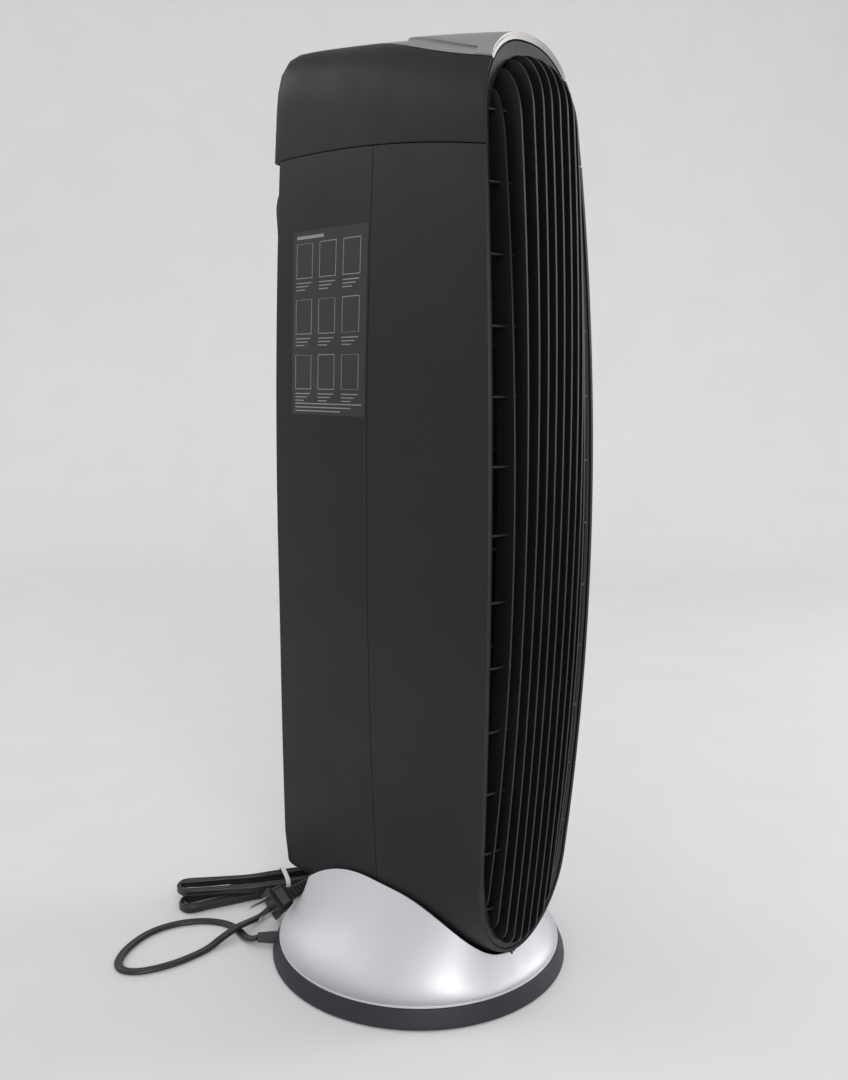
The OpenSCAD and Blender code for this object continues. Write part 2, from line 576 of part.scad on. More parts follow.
// A long half ellipse with straight sides in front of it, grown by g
module long_oval(size, g = 0) {
    translate([-size[0] - g, -140]) square([2 * (size[0] + g), 140 + size[1]]);
    translate([0, size[1]]) scale([(size[0] + g) / size[2], (size[2] + g) / size[2]]) circle(size[2], $fn = 96);
}
module bezel_plan(g) long_oval(bezel_plan_size, g);
module cap_skin(t0, t1) difference() {
    cap_form(t0);
    cap_form(t1, 10);
}
module top_cap() color([0.17, 0.17, 0.18]) difference() {
    cap_skin(0, wall);
    linear_extrude(800) bezel_plan(gap);
    grille_seat();
}
deck_y = -46;
deck_tilt = 8.5;
button_y = [-button_pitch, 0, button_pitch];
module on_deck() translate([0, deck_y, crest_z(deck_y)]) rotate([deck_tilt, 0, 0]) children();
module deck_bores(extra) on_deck() {
    for (y = button_y) translate([0, y, -12]) cylinder(h = 30, r = button_r + extra, $fn = 64);
    translate([-10 - extra, 30 - extra, -12]) cube([20 + 2 * extra, 5 + 2 * extra, 30]);
}
tongue_rise = 2.2;          // how far the control tongue stands proud of the bezel
board_depth = 12;
board_holes = [for (x = [-15, 15]) for (y = [-27, 37]) [x, y]];
module top_bezel() color([0.74, 0.75, 0.77]) difference() {
    union() {
        intersection() {
            cap_skin(0, wall);
            linear_extrude(800) bezel_plan(0);
        }
        intersection() {
            on_deck() for (p = board_holes) translate([p[0], p[1], -board_depth]) cylinder(h = 20, r = 3, $fn = 32);
            cap_form(1);
        }
    }
    grille_seat();
    deck_bores(0.3);
    on_deck() for (p = board_holes) translate([p[0], p[1], -board_depth - 1]) cylinder(h = 9, r = 1.2, $fn = 32);
}
tongue_hook = -86;          // in front of this the tongue is as wide as the bezel, as a lip over the grille
module tongue_plan() {
    intersection() {
        long_oval(tongue_plan_size);
        translate([-60, tongue_hook - 1]) square([120, 120]);
    }
    translate([-bezel_plan_size[0], -140]) square([2 * bezel_plan_size[0], 140 + tongue_hook]);
}
module control_tongue() color([0.74, 0.75, 0.77]) difference() {
    intersection() {
        difference() {
            intersection() {
                turn_about([0, rim_belly + 22, front_top], [crown_tilt, 0, 0])
                    along_y(-200, 420) polygon(crown_pts(-tongue_rise));
                along_x(-80, 80) polygon(cap_side(-tongue_rise, 0));
            }
            cap_form(-0.02, 20);
        }
        linear_extrude(800) tongue_plan();
    }
    deck_bores(0.3);
}
module push_button() {
    translate([0, 0, -5]) cylinder(h = 5 + tongue_rise + 0.5, r = button_r, $fn = 64);
    translate([0, 0, -5.6]) cylinder(h = 2.6, r = button_r + 1.5, $fn = 64);
    translate([0, 0, -8]) cylinder(h = 3, r = 2, $fn = 32);
}
module power_button() color([0.2, 0.2, 0.22]) on_deck() translate([0, button_y[0], 0]) push_button();
module speed_button() color([0.2, 0.2, 0.22]) on_deck() translate([0, button_y[1], 0]) push_button();
module timer_button() color([0.2, 0.2, 0.22]) on_deck() translate([0, button_y[2], 0]) push_button();
module indicator_lens() color([0.05, 0.06, 0.07]) on_deck() translate([-10, 30, -5.6]) {
    cube([20, 5, 5.6 + tongue_rise + 0.1]);
    translate([-1.5, -1.5, 0]) cube([23, 8, 1.8]);
}
module control_board() color([0.1, 0.4, 0.25]) on_deck() difference() {
    translate([-19, -31, -board_depth - 1.7]) cube([38, 72, 1.6]);
    for (p = board_holes) translate([p[0], p[1], -20]) cylinder(h = 30, r = 1.6, $fn = 32);
}
module board_switches() color([0.1, 0.1, 0.1]) on_deck() for (y = button_y) {
    translate([-3, y - 3, -board_depth - 0.1]) cube([6, 6, 1.8]);
    translate([0, y, -board_depth + 1.7]) cylinder(h = 0.9, r = 1.6, $fn = 32);
}
module board_screws() color([0.6, 0.6, 0.62]) on_deck() for (p = board_holes) translate([p[0], p[1], 0]) {
    translate([0, 0, -board_depth - 3.5]) cylinder(h = 1.8, r = 2.4, $fn = 32);
    translate([0, 0, -board_depth - 2]) cylinder(h = 8, r = 1.15, $fn = 32);
}
module side_label() color([0.08, 0.08, 0.09]) difference() {
    intersection() {
        translate([-80, 2, 437]) cube([80, 86, 139]);
        wide_prism(-0.25);
    }
    wide_prism(-0.02);
}

// ---------- cord ----------
gland_angle = 137;
gland_z = 7.8;
gland_r = 4.8;
// Flanged bush in the ring, tapering to a strain relief outside it
module cord_gland() color([0.06, 0.06, 0.06]) rotate([0, 0, gland_angle]) translate([0, 0, gland_z])
    rotate([0, 90, 0]) {
        translate([0, 0, foot_r - 13]) cylinder(h = 2.6, r = gland_r + 1.4, $fn = 48);
        translate([0, 0, foot_r - 13]) cylinder(h = 14, r = gland_r, $fn = 48);
        translate([0, 0, foot_r + 1]) cylinder(h = 12, r1 = gland_r, r2 = 3.9, $fn = 48);
    }
// Route from the foot, round the loose loop, over itself and under the plug to the hank
run_route = [[-97.3, 90.7, 7.8], [-99.5, 95, 6], [-99.5, 104, 3.4], [-97, 116, 2.1], [-96, 128, 2], [-99, 140, 2],
    [-108, 153, 2], [-122, 163, 2], [-138, 168, 2], [-154, 168, 2], [-170, 163, 2], [-184, 155, 2],
    [-194, 145, 2], [-197, 134, 2], [-191, 124, 2], [-178, 117, 2], [-162, 113, 2], [-145, 112, 2],
    [-130, 113, 2.4], [-115, 115, 5.2], [-98, 118, 6.6], [-82, 121, 5], [-67, 126, 2.4], [-54, 132, 2],
    [-43, 138, 2], [-34, 142, 2]];
// Route from the hank, round a small loop behind the foot, up to the plug's strain relief
lead_route = [[-5, 130, 12], [5, 127, 9.5], [18, 126, 6], [33, 127, 3], [50, 130, 2], [67, 136, 2], [79, 147, 2],
    [84, 162, 2], [80, 177, 2], [67, 188, 2], [51, 190, 2], [37, 182, 2.4], [29, 168, 5], [24, 154, 10],
    [17, 141, 15], [8, 130, 18.5], [-2, 122, 20.4], [-10, 118, 21], [-18.4, 117, 20.5]];
function unit(v) = v / norm(v);
function tangent(r, i) = unit(r[min(len(r) - 1, i + 1)] - r[max(0, i - 1)]);
// Points of the same curve between route points (Catmull-Rom), n per stretch
function between(r, i, s) =
    let (a = r[max(0, i - 1)], b = r[i], c = r[i + 1], d = r[min(len(r) - 1, i + 2)])
    0.5 * (2 * b + (c - a) * s + (2 * a - 5 * b + 4 * c - d) * s * s + (3 * b - a - 3 * c + d) * s * s * s);
function smooth_route(r, n) = concat([for (i = [0:len(r) - 2]) for (k = [0:n - 1]) between(r, i, k / n)],
    [r[len(r) - 1]]);
module flat_cord(route, n) {
    line = smooth_route(route, n);
    sides = 10;
    rings = len(line);
    pts = [for (i = [0:rings - 1]) let (t = tangent(line, i), across = unit(cross(t, [0, 0, 1])), up = cross(across, t))
        for (k = [0:sides - 1]) line[i] + across * (cord_w / 2 * cos(360 * k / sides))
            + up * (cord_t / 2 * sin(360 * k / sides))];
    skin = [for (i = [0:rings - 2]) for (k = [0:sides - 1])
        let (a = i * sides + k, b = i * sides + (k + 1) % sides, c = b + sides, d = a + sides)
        for (f = [[a, b, c], [a, c, d]]) f];
    ends = [[for (k = [sides - 1:-1:0]) k], [for (k = [0:sides - 1]) (rings - 1) * sides + k]];
    polyhedron(pts, concat(skin, ends), convexity = 8);
}
module cord_run() color([0.05, 0.05, 0.05]) flat_cord(run_route, 2);
module cord_lead() color([0.05, 0.05, 0.05]) flat_cord(lead_route, 2);
// The spare length is folded into a hank, held by a tie
hank_from = [-91, 187];
hank_to = [-6, 146];
hank_r = 15.5;
hank_h = 16.5;
tie_share = 0.82;           // place of the tie along the hank
module hank_outline(extra) hull() {
    translate(hank_from) circle(hank_r + extra, $fn = 32);
    translate(hank_to) circle(hank_r + extra, $fn = 32);
}
module cord_hank() color([0.05, 0.05, 0.05]) translate([0, 0, 0.1]) linear_extrude(hank_h) hank_outline(0);
module cord_tie() color([0.95, 0.95, 0.95]) difference() {
    hank_band(1.1);
    translate([0, 0, 0.1]) linear_extrude(hank_h) hank_outline(0);
}
module hank_band(extra) {
    dir = hank_to - hank_from;
    mid = hank_from + dir * tie_share;
    translate([mid[0], mid[1], 0]) rotate([0, 0, atan2(dir[1], dir[0])])
        translate([-2, -hank_r - extra, 0.02]) cube([4, 2 * (hank_r + extra), hank_h + extra]);
}
// The plug stands tilted on one edge of its flange, its cord end raised over the foot ring
plug_at = [-64, 117, 14.8];
module at_plug() translate(plug_at) rotate([0, -7, 0]) rotate([42, 0, 0]) children();
module plug_body() color([0.06, 0.06, 0.06]) at_plug() {
    translate([0, -12.5, -8.2]) cube([3, 25, 16.4]);
    hull() {
        translate([2, -10.5, -7.6]) cube([11, 21, 15.2]);
        translate([17, -7, -5.5]) cube([2, 14, 11]);
    }
    translate([18, 0, 0]) rotate([0, 90, 0]) cylinder(h = 28, r1 = 5.5, r2 = 3.9, $fn = 32);
}
module plug_blades() color([0.8, 0.78, 0.7]) at_plug() for (s = [-1, 1])
    translate([-17.5, s * 6.35 - 0.75, s > 0 ? -3.95 : -3.15]) cube([17.5, 1.5, s > 0 ? 7.9 : 6.3]);

base_plate();
base_feet();
base_ring();
base_screws();
pedestal();
saddle();
front_shell();
rear_shell();
top_cap();
top_bezel();
control_tongue();
front_grille();
rear_door();
door_pins();
prefilter();
filter_frame();
filter_media();
filter_seal();
filter_bulkhead();
fan_floor();
fan_ceiling();
air_scroll();
air_cutoff();
fan_rotor();
rotor_hub();
rotor_stub();
motor_shaft();
motor_case();
motor_bracket();
motor_screws();
bearing_bush();
bearing_holder();
power_button();
speed_button();
timer_button();
indicator_lens();
control_board();
board_switches();
board_screws();
side_label();
cord_gland();
cord_run();
cord_hank();
cord_lead();
cord_tie();
plug_body();
plug_blades();
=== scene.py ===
import itertools
import math

import bmesh
import bpy
import numpy as np
from mathutils import Matrix, Vector


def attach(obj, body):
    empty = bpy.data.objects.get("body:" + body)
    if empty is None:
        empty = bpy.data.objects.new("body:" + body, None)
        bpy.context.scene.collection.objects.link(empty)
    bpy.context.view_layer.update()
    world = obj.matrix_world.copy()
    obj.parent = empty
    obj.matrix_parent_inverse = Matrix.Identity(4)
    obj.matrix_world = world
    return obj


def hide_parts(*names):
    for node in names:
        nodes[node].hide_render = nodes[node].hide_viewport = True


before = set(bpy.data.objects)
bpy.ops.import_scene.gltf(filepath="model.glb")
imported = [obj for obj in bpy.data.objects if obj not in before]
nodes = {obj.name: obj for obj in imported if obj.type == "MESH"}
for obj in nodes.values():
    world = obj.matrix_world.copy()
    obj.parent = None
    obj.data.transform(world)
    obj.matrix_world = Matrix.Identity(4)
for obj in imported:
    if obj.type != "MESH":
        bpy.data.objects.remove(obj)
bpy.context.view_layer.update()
scene = bpy.context.scene


# ---------- camera
HEADING, PITCH, ROLL = (math.radians(a) for a in (45.15, -8.6, 0.41))


def add_camera():
    """At the photograph's viewing angle: in front of the tower's left side, a little above its middle."""
    flat = math.cos(PITCH)
    forward = Vector((math.cos(HEADING) * flat, math.sin(HEADING) * flat, math.sin(PITCH)))
    level = forward.cross(Vector((0, 0, 1))).normalized()
    above = level.cross(forward)
    right = level * math.cos(ROLL) + above * math.sin(ROLL)
    up = right.cross(forward)
    camera = bpy.data.objects.new("camera", bpy.data.cameras.new("camera"))
    scene.collection.objects.link(camera)
    camera.matrix_world = Matrix((right, up, -forward)).transposed().to_4x4()
    camera.location = (-0.5754, -0.5814, 0.464)
    camera.data.lens = 35.2
    camera.data.sensor_width = 36
    camera.data.clip_start = 0.01
    scene.camera = camera


add_camera()


# ---------- the part's own form, in millimetres
HALF_W, BELLY_Z, SIDE_R = 57.5, 380, 4400
TOWER_BOTTOM, TOE_Z, FRONT_TOP = 35, 38.8, 691
WALL, SKIN = 2.5, 2.3
# where the front rim and the cap's seam peak, where the crest starts, and how each curves
RIM_AT, RIM_MID_Z, RIM_CURVE = -121, 340, 5400
SEAM_TOP, SEAM_MID_Y, SEAM_CURVE = 632, 85, 2048
CREST_FROM, CREST_RISE, CREST_CURVE = -99, 0.171, 0.0002
# the rear edge flares out low down
REAR_AT, REAR_FLARE, FLARE_Z, FLARE_H = 110.5, 8, 300, 210
SEAM_FRONT_Y, SEAM_REAR_Y = -107, 110
# below this height the levels follow the rounded bottom, not the cap's seam
BEND_Z = 140
HEEL_Y, HEEL_Z, HEEL_H = 106, 50, 18
# height of the outline's two ends, and how square the low end, the crown and the heel are
END_H, LOW_N, CROWN_N, HEEL_N = 61, 2, 2.4, 2.4
KEEL_TILT = math.radians(20)
FIN_COUNT, FIN_PITCH, FIN_T = 10, 8.5, 1.5
RIB_Z, RIB_PITCH, RIB_COUNT = 85.5, 46, 13
# foremost line of the front fins, and how proud of the rim the outermost ones stand
FIN_AT, FIN_MID_Z, FIN_CURVE = -133.9, 400, 5770
OUTER_PROUD, OUTER_FADE_Z, OUTER_FADE_H = 6.6, 380, 290
GRILLE_DEEP, GRILLE_INSET, OPENING_INSET = 9.0, 3, 6.2
OPEN_Z, OPEN_H, OPEN_N = (47, 677.5), (75, 55), 2.2
FIN_ENDS, DOOR_FIN_ENDS = (34, 10), (24, 30)
DOOR_LOW, DOOR_TOP, DOOR_INSET, DOOR_OPENING = 77, 627.5, 3, 9.5
# the door's rounded ends, depth and half width, and the line of its fins, which bulges towards the top
DOOR_H, DOOR_N, DOOR_DEEP, DOOR_HALF = (30, 14), 2.4, 8.0, 48
DOOR_FIN_AT, DOOR_BULGE, BULGE_Z, BULGE_H = 120, 15, 400, 210
FOOT_R, RING_H = 120, 14.7
WING_Z, RIM_FRONT, RIM_BACK, RIM_LOW, HEEL_GAP = 74.5, -98, 97, 33.5, 1.8
WING_LEVEL = (-20, 4)
# half width, widest place and length behind that of the two ovals on top
BEZEL_OVAL, TONGUE_OVAL = (38.7, -80, 132), (36, -95, 106)
TONGUE_HOOK, TONGUE_RISE = -86, 2.2
DECK_Y, DECK_TILT = -46, math.radians(8.5)
BUTTON_Y, BUTTON_R = (-18, 0, 18), 5.5
LENS_HALF, LENS_Y = 10, (30, 35)
SHOULDER_Y, SHOULDER_Z, CAP_REAR, CORNER_R = 108, 685, 122, 11
# towards the back the cap's cross-section springs from higher up and grows squarer
HOOD_LONG, HOOD_RISE, HOOD_SQUARE, SHOULDER_N = 185, 27, 1.9, 2.5
PLUG_AT, PLUG_ROLL, PLUG_TILT = (-64, 117, 14.8), math.radians(42), math.radians(-7)
FLANGE_W, FLANGE_H, PRONG_Y = 12.5, 8.2, 6.35
LABEL_Y, LABEL_Z = (2, 88), (437, 576)


def end_curve(u, n):
    u = np.clip(u, 0, 1)
    return (1 - u ** n) ** (1 / n)


def barrel(z, t=0.0):
    return HALF_W - t - (z - BELLY_Z) ** 2 / (2 * SIDE_R)


def rim_y(z):
    return RIM_AT + (z - RIM_MID_Z) ** 2 / RIM_CURVE


def rear_edge(z):
    return REAR_AT + REAR_FLARE * (np.maximum(0, FLARE_Z - z) / FLARE_H) ** 1.5


def seam_z(y):
    return SEAM_TOP - (y - SEAM_MID_Y) ** 2 / SEAM_CURVE


def crest_z(y):
    back = y - CREST_FROM
    return FRONT_TOP + CREST_RISE * back - CREST_CURVE * back ** 2


def front_share(z, t=0.0):
    """Share of the barrel's width that the front outline keeps at a height, inset by t."""
    low = end_curve((TOE_Z + END_H - z) / (END_H - t), LOW_N)
    return low * end_curve((z - FRONT_TOP + END_H) / (END_H - t), CROWN_N)


def front_w(z, t=0.0):
    return barrel(z, t) * front_share(z, t)


def tower_w(y, z):
    """Half width of the tower below the cap: the keel of the front fades into the wider rear."""
    keel = z + (y - rim_y(TOE_Z)) * math.tan(KEEL_TILT)
    narrow = 1 - end_curve((TOE_Z + END_H - keel) / END_H, LOW_N)
    wide = 1 - end_curve((TOWER_BOTTOM + HEEL_H - z) / HEEL_H, HEEL_N)
    return barrel(z) * np.clip(1 - (narrow ** 4 + wide ** 4) ** 0.25, 0, 1)


def keel_z(y):
    """The tower's lowest point at a depth: the toe sinks to the level bottom."""
    return np.maximum(TOWER_BOTTOM, TOE_Z - (y - rim_y(TOE_Z)) * math.tan(KEEL_TILT))


def loop_zs(t, low, low_h, high, high_h, n):
    """Heights up an outline with curved ends, closer together round the ends."""
    a = np.linspace(0, math.pi / 2, n)
    straight = np.linspace(low + low_h, high - high_h, 12)[1:-1]
    return np.concatenate([low + low_h - (low_h - t) * np.cos(a), straight,
                           high - high_h + (high_h - t) * np.sin(a)])


# ---------- mesh helpers
def add_object(name, data, body, stands_for):
    piece = bpy.data.objects.new(name, data)
    scene.collection.objects.link(piece)
    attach(piece, body)
    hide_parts(*stands_for)
    return piece


def mesh_of(name, points, faces):
    """A mesh from points in millimetres, with doubles merged and faces turned outward."""
    data = bpy.data.meshes.new(name)
    data.from_pydata([tuple(0.001 * float(c) for c in p) for p in points], [], faces)
    bm = bmesh.new()
    bm.from_mesh(data)
    bmesh.ops.remove_doubles(bm, verts=bm.verts, dist=0.00002)
    bmesh.ops.dissolve_degenerate(bm, edges=bm.edges, dist=0.00001)
    bmesh.ops.recalc_face_normals(bm, faces=bm.faces)
    bm.to_mesh(data)
    bm.free()
    return data


def grid_faces(rows, cols, wrap_rows=False, wrap_cols=False, keep=lambda i, j: True):
    """Faces between neighbouring rows of points, where keep allows them."""
    faces = []
    for i in range(rows if wrap_rows else rows - 1):
        for j in range(cols if wrap_cols else cols - 1):
            if keep(i, j):
                this, after, across = i * cols, (i + 1) % rows * cols, (j + 1) % cols
                faces.append((this + j, this + across, after + across, after + j))
    return faces


def applied(piece):
    """Replaces the piece's mesh with the one that its modifiers make."""
    bpy.context.view_layer.update()
    done = bpy.data.meshes.new_from_object(piece.evaluated_get(bpy.context.evaluated_depsgraph_get()))
    piece.modifiers.clear()
    piece.data = done
    return done


def flat_ends(points, count):
    """The two faces that close a body with count points in a row."""
    return [tuple(range(count))[::-1], tuple(len(points) - count + k for k in range(count))]


def finish_mesh(piece, material, bevel=0.0, segments=2, angle=40, thickness=0.0, limit=30, even=True):
    """Adds wall thickness, rounded edges and smooth shading, then applies them."""
    if thickness:
        solid = piece.modifiers.new("wall", "SOLIDIFY")
        solid.thickness = 0.001 * thickness
        solid.offset = -1
        solid.use_even_offset = even
    if bevel:
        edge = piece.modifiers.new("edge", "BEVEL")
        edge.width = 0.001 * bevel
        edge.segments = segments
        edge.limit_method = "ANGLE"
        edge.angle_limit = math.radians(limit)
        edge.miter_outer = "MITER_ARC"
    done = applied(piece)
    done.shade_smooth()
    done.set_sharp_from_angle(angle=math.radians(angle))
    normals = piece.modifiers.new("normals", "WEIGHTED_NORMAL")
    normals.keep_sharp = True
    done.materials.clear()
    done.materials.append(material)
    return piece


def joined(name, parts):
    """One mesh from several lists of points and faces."""
    points, faces = [], []
    for p, f in parts:
        start = len(points)
        points += [tuple(q) for q in p]
        faces += [tuple(start + k for k in face) for face in f]
    return mesh_of(name, points, faces)


def add_piece(name, parts, slot, node, material, body="tower", **finish):
    """A finished piece that stands for one CAD node, made from lists of points and faces."""
    return finish_mesh(add_object(name, joined(name, parts), body, [node]), material, **finish)


# ---------- materials
def shader(name):
    material = bpy.data.materials.new(name)
    material.use_nodes = True
    return material, material.node_tree, material.node_tree.nodes["Principled BSDF"]


def wired(tree, kind, output, **inputs):
    """One output of a new node whose inputs are set to values or linked to other outputs."""
    new = tree.nodes.new("ShaderNode" + kind)
    for name, value in inputs.items():
        socket = new.inputs[name.replace("_", " ")]
        if isinstance(value, bpy.types.NodeSocket):
            tree.links.new(value, socket)
        else:
            socket.default_value = value
    return new.outputs[output]


def noise(tree, scale, detail, stretch=None):
    """A noise in the object's own coordinates."""
    place = wired(tree, "TexCoord", "Object")
    if stretch:
        place = wired(tree, "Mapping", "Vector", Vector=place, Scale=stretch)
    return wired(tree, "TexNoise", "Fac", Vector=place, Scale=scale, Detail=detail)


def spread(tree, value, low, high, start=0.3, end=0.7):
    """Carries a value from start..end over to low..high."""
    return wired(tree, "MapRange", "Result", Value=value, From_Min=start, From_Max=end, To_Min=low,
                 To_Max=high)


def mixed(tree, share, first, second):
    blend = tree.nodes.new("ShaderNodeMix")
    blend.data_type = "RGBA"
    tree.links.new(share, blend.inputs["Factor"])
    for socket, value in ((blend.inputs["A"], first), (blend.inputs["B"], second)):
        if isinstance(value, tuple):
            socket.default_value = (*value, 1)
        else:
            tree.links.new(value, socket)
    return blend.outputs["Result"]


def bumped(tree, height, strength, distance, **under):
    return wired(tree, "Bump", "Normal", Height=height, Strength=strength, Distance=distance, **under)


def moulded(name, dark, light, rough, grain, relief=0.00004, strength=0.25, metallic=0.0, dust=0.0, ior=1.5):
    """Moulded plastic, paint or rubber: faint mottling, handled gloss and a fine grain."""
    material, tree, base = shader(name)
    patches = spread(tree, noise(tree, 9, 4), 0.0, 1.0)
    colour = mixed(tree, patches, dark, light)
    if dust:
        specks = spread(tree, noise(tree, 420, 2), 0.0, dust, 0.62, 0.8)
        colour = mixed(tree, specks, colour, (0.45, 0.44, 0.43))
    tree.links.new(colour, base.inputs["Base Color"])
    tree.links.new(spread(tree, noise(tree, 28, 5), rough[0], rough[1]), base.inputs["Roughness"])
    coarse = bumped(tree, noise(tree, 60, 3), 0.05, 0.0005)
    fine = bumped(tree, noise(tree, grain, 2), strength, relief, Normal=coarse)
    tree.links.new(fine, base.inputs["Normal"])
    base.inputs["Metallic"].default_value = metallic
    base.inputs["IOR"].default_value = ior
    return material


def metal(name, tint, rough=(0.2, 0.34)):
    """Bare metal with fine drawn lines."""
    material, tree, base = shader(name)
    lines = noise(tree, 900, 3, (0.05, 1.0, 1.0))
    colour = mixed(tree, spread(tree, lines, 0.0, 1.0), tuple(0.82 * c for c in tint), tint)
    tree.links.new(colour, base.inputs["Base Color"])
    tree.links.new(spread(tree, noise(tree, 50, 4), rough[0], rough[1]), base.inputs["Roughness"])
    tree.links.new(bumped(tree, lines, 0.15, 0.00005), base.inputs["Normal"])
    base.inputs["Metallic"].default_value = 1.0
    return material


BLACK = moulded("black_plastic", (0.01, 0.01, 0.012), (0.014, 0.014, 0.017), (0.42, 0.5), 1400, ior=1.34)
# the cap's copy of the satin black is darker and warmer: painted shade for the cap's top under a dim ceiling
SHADED_CAP = moulded("shaded_black_cap", (0.008, 0.007, 0.008), (0.012, 0.01, 0.011), (0.44, 0.52), 1400, ior=1.32)
LOUVRE = moulded("louvre_plastic", (0.007, 0.007, 0.009), (0.01, 0.01, 0.012), (0.34, 0.42), 1100,
                 ior=1.42)
RING = moulded("foot_ring_plastic", (0.018, 0.019, 0.024), (0.024, 0.025, 0.031), (0.44, 0.55), 900,
               strength=0.4, ior=1.42)
# two copies of one silver paint: the top's is darker, painted shade for the top under a dim ceiling; the
# pedestal's is lighter, painted light from the bright wall it faces
SHADED_SILVER = moulded("silver_paint", (0.34, 0.33, 0.32), (0.37, 0.36, 0.35), (0.38, 0.44), 3200, 0.00002,
                 0.2, metallic=0.75)
LIT_SILVER = moulded("lit_pedestal_paint", (0.66, 0.665, 0.68), (0.7, 0.705, 0.72), (0.46, 0.53), 3200,
                   0.00002, 0.2, metallic=0.65)
CORD = moulded("cord_sheath", (0.012, 0.012, 0.014), (0.018, 0.018, 0.02), (0.3, 0.42), 700, 0.00005, 0.2)
PLUG = moulded("plug_vinyl", (0.011, 0.011, 0.013), (0.017, 0.017, 0.019), (0.34, 0.48), 600, 0.00005, 0.3)
PLUG_FACE = moulded("plug_panel", (0.05, 0.052, 0.056), (0.065, 0.068, 0.072), (0.35, 0.5), 800, 0.00008,
                    0.5)
RUBBER = moulded("rubber", (0.03, 0.03, 0.032), (0.045, 0.045, 0.048), (0.75, 0.9), 500, 0.0001, 0.5)
PAPER = moulded("tie_paper", (0.72, 0.71, 0.68), (0.8, 0.79, 0.77), (0.7, 0.85), 500, 0.0001, 0.4)
KEY = moulded("key_plastic", (0.06, 0.062, 0.068), (0.075, 0.077, 0.083), (0.32, 0.42), 1200)
GLASS = moulded("lens_plastic", (0.01, 0.012, 0.014), (0.016, 0.018, 0.02), (0.1, 0.16), 300, 0.00001, 0.1)
DARK = moulded("inner_plastic", (0.012, 0.012, 0.013), (0.02, 0.02, 0.022), (0.55, 0.7), 900, dust=0.25)
FILTER = moulded("filter_paper", (0.62, 0.61, 0.57), (0.74, 0.73, 0.69), (0.85, 0.95), 350, 0.0002, 0.6)
FOAM = moulded("carbon_foam", (0.012, 0.012, 0.012), (0.03, 0.03, 0.03), (0.9, 1.0), 260, 0.0008, 1.0)
BOARD = moulded("circuit_board", (0.02, 0.09, 0.05), (0.03, 0.13, 0.07), (0.35, 0.5), 240, 0.0001, 0.3)
ROTOR = moulded("rotor_plastic", (0.028, 0.03, 0.034), (0.038, 0.04, 0.045), (0.45, 0.6), 900, dust=0.3)
LABEL = moulded("label_film", (0.012, 0.012, 0.014), (0.017, 0.017, 0.019), (0.24, 0.3), 200, 0.00001, 0.2)
PRINT = moulded("label_ink", (0.22, 0.22, 0.23), (0.28, 0.28, 0.29), (0.4, 0.5), 900)
STEEL = metal("bright_steel", (0.72, 0.72, 0.73))
BRASS = metal("plug_brass", (0.78, 0.74, 0.64), (0.12, 0.25))
BRONZE = metal("bearing_bronze", (0.62, 0.42, 0.24))


# ---------- cord
def through(points, steps):
    """A smooth curve through points (Catmull-Rom), with steps stretches between each two."""
    p = np.array(points, float)
    p = np.vstack([2 * p[0] - p[1], p, 2 * p[-1] - p[-2]])
    out = []
    for i in range(1, len(p) - 2):
        for s in np.arange(steps) / steps:
            a, b, c, d = p[i - 1:i + 3]
            out.append(0.5 * (2 * b + (c - a) * s + (2 * a - 5 * b + 4 * c - d) * s ** 2
                              + (3 * b - a - 3 * c + d) * s ** 3))
    return np.array(out + [p[-2]])


RUN = [(-97.3, 90.7, 7.8), (-99.5, 95, 6), (-99.5, 104, 3.4), (-97, 116, 2.1), (-96, 128, 2), (-99, 140, 2),
       (-108, 153, 2), (-122, 163, 2), (-138, 168, 2), (-154, 168, 2), (-170, 163, 2), (-184, 155, 2),
       (-194, 145, 2), (-197, 134, 2), (-191, 124, 2), (-178, 117, 2), (-162, 113, 2), (-145, 112, 2),
       (-130, 113, 2.4), (-115, 115, 5.2), (-98, 118, 6.6), (-82, 121, 5), (-67, 126, 2.4), (-54, 132, 2),
       (-43, 138, 2), (-34, 142, 2)]
LEAD = [(-5, 130, 12), (5, 127, 9.5), (18, 126, 6), (33, 127, 3), (50, 130, 2), (67, 136, 2), (79, 147, 2),
        (84, 162, 2), (80, 177, 2), (67, 188, 2), (51, 190, 2), (37, 182, 2.4), (29, 168, 5), (24, 154, 10),
        (17, 141, 15), (8, 130, 18.5), (-2, 122, 20.4), (-10, 118, 21), (-18.4, 117, 20.5)]
CORE_R, TIE_SHARE = 1.75, 0.82
HANK_FROM, HANK_TO = np.array([-91.0, 187.0]), np.array([-6.0, 146.0])
HANK_LONG = float(np.linalg.norm(HANK_TO - HANK_FROM))
HANK_DIR = (HANK_TO - HANK_FROM) / HANK_LONG
HANK_SIDE = np.array([-HANK_DIR[1], HANK_DIR[0]])
HANK_LOW, HANK_HIGH = 4.0, 12.0
# how far from its free end the hank spreads, and by how much its upper and lower loops do
LOOSE_LONG, SPREAD_HIGH, SPREAD_LOW = 48, 8, -7
STEPS = 8


def fanned(s, u, w):
    """Towards the hank's free end the lower loops spread one way and the upper ones the other."""
    loose = max(0.0, LOOSE_LONG - s) / LOOSE_LONG
    return in_hank(s, u + (SPREAD_HIGH if w > (HANK_LOW + HANK_HIGH) / 2 else SPREAD_LOW) * loose, w)


def in_hank(s, u, w):
    """A point s along the hank, u across it and w above the floor."""
    p = HANK_FROM + HANK_DIR * s + HANK_SIDE * u
    return (p[0], p[1], w)


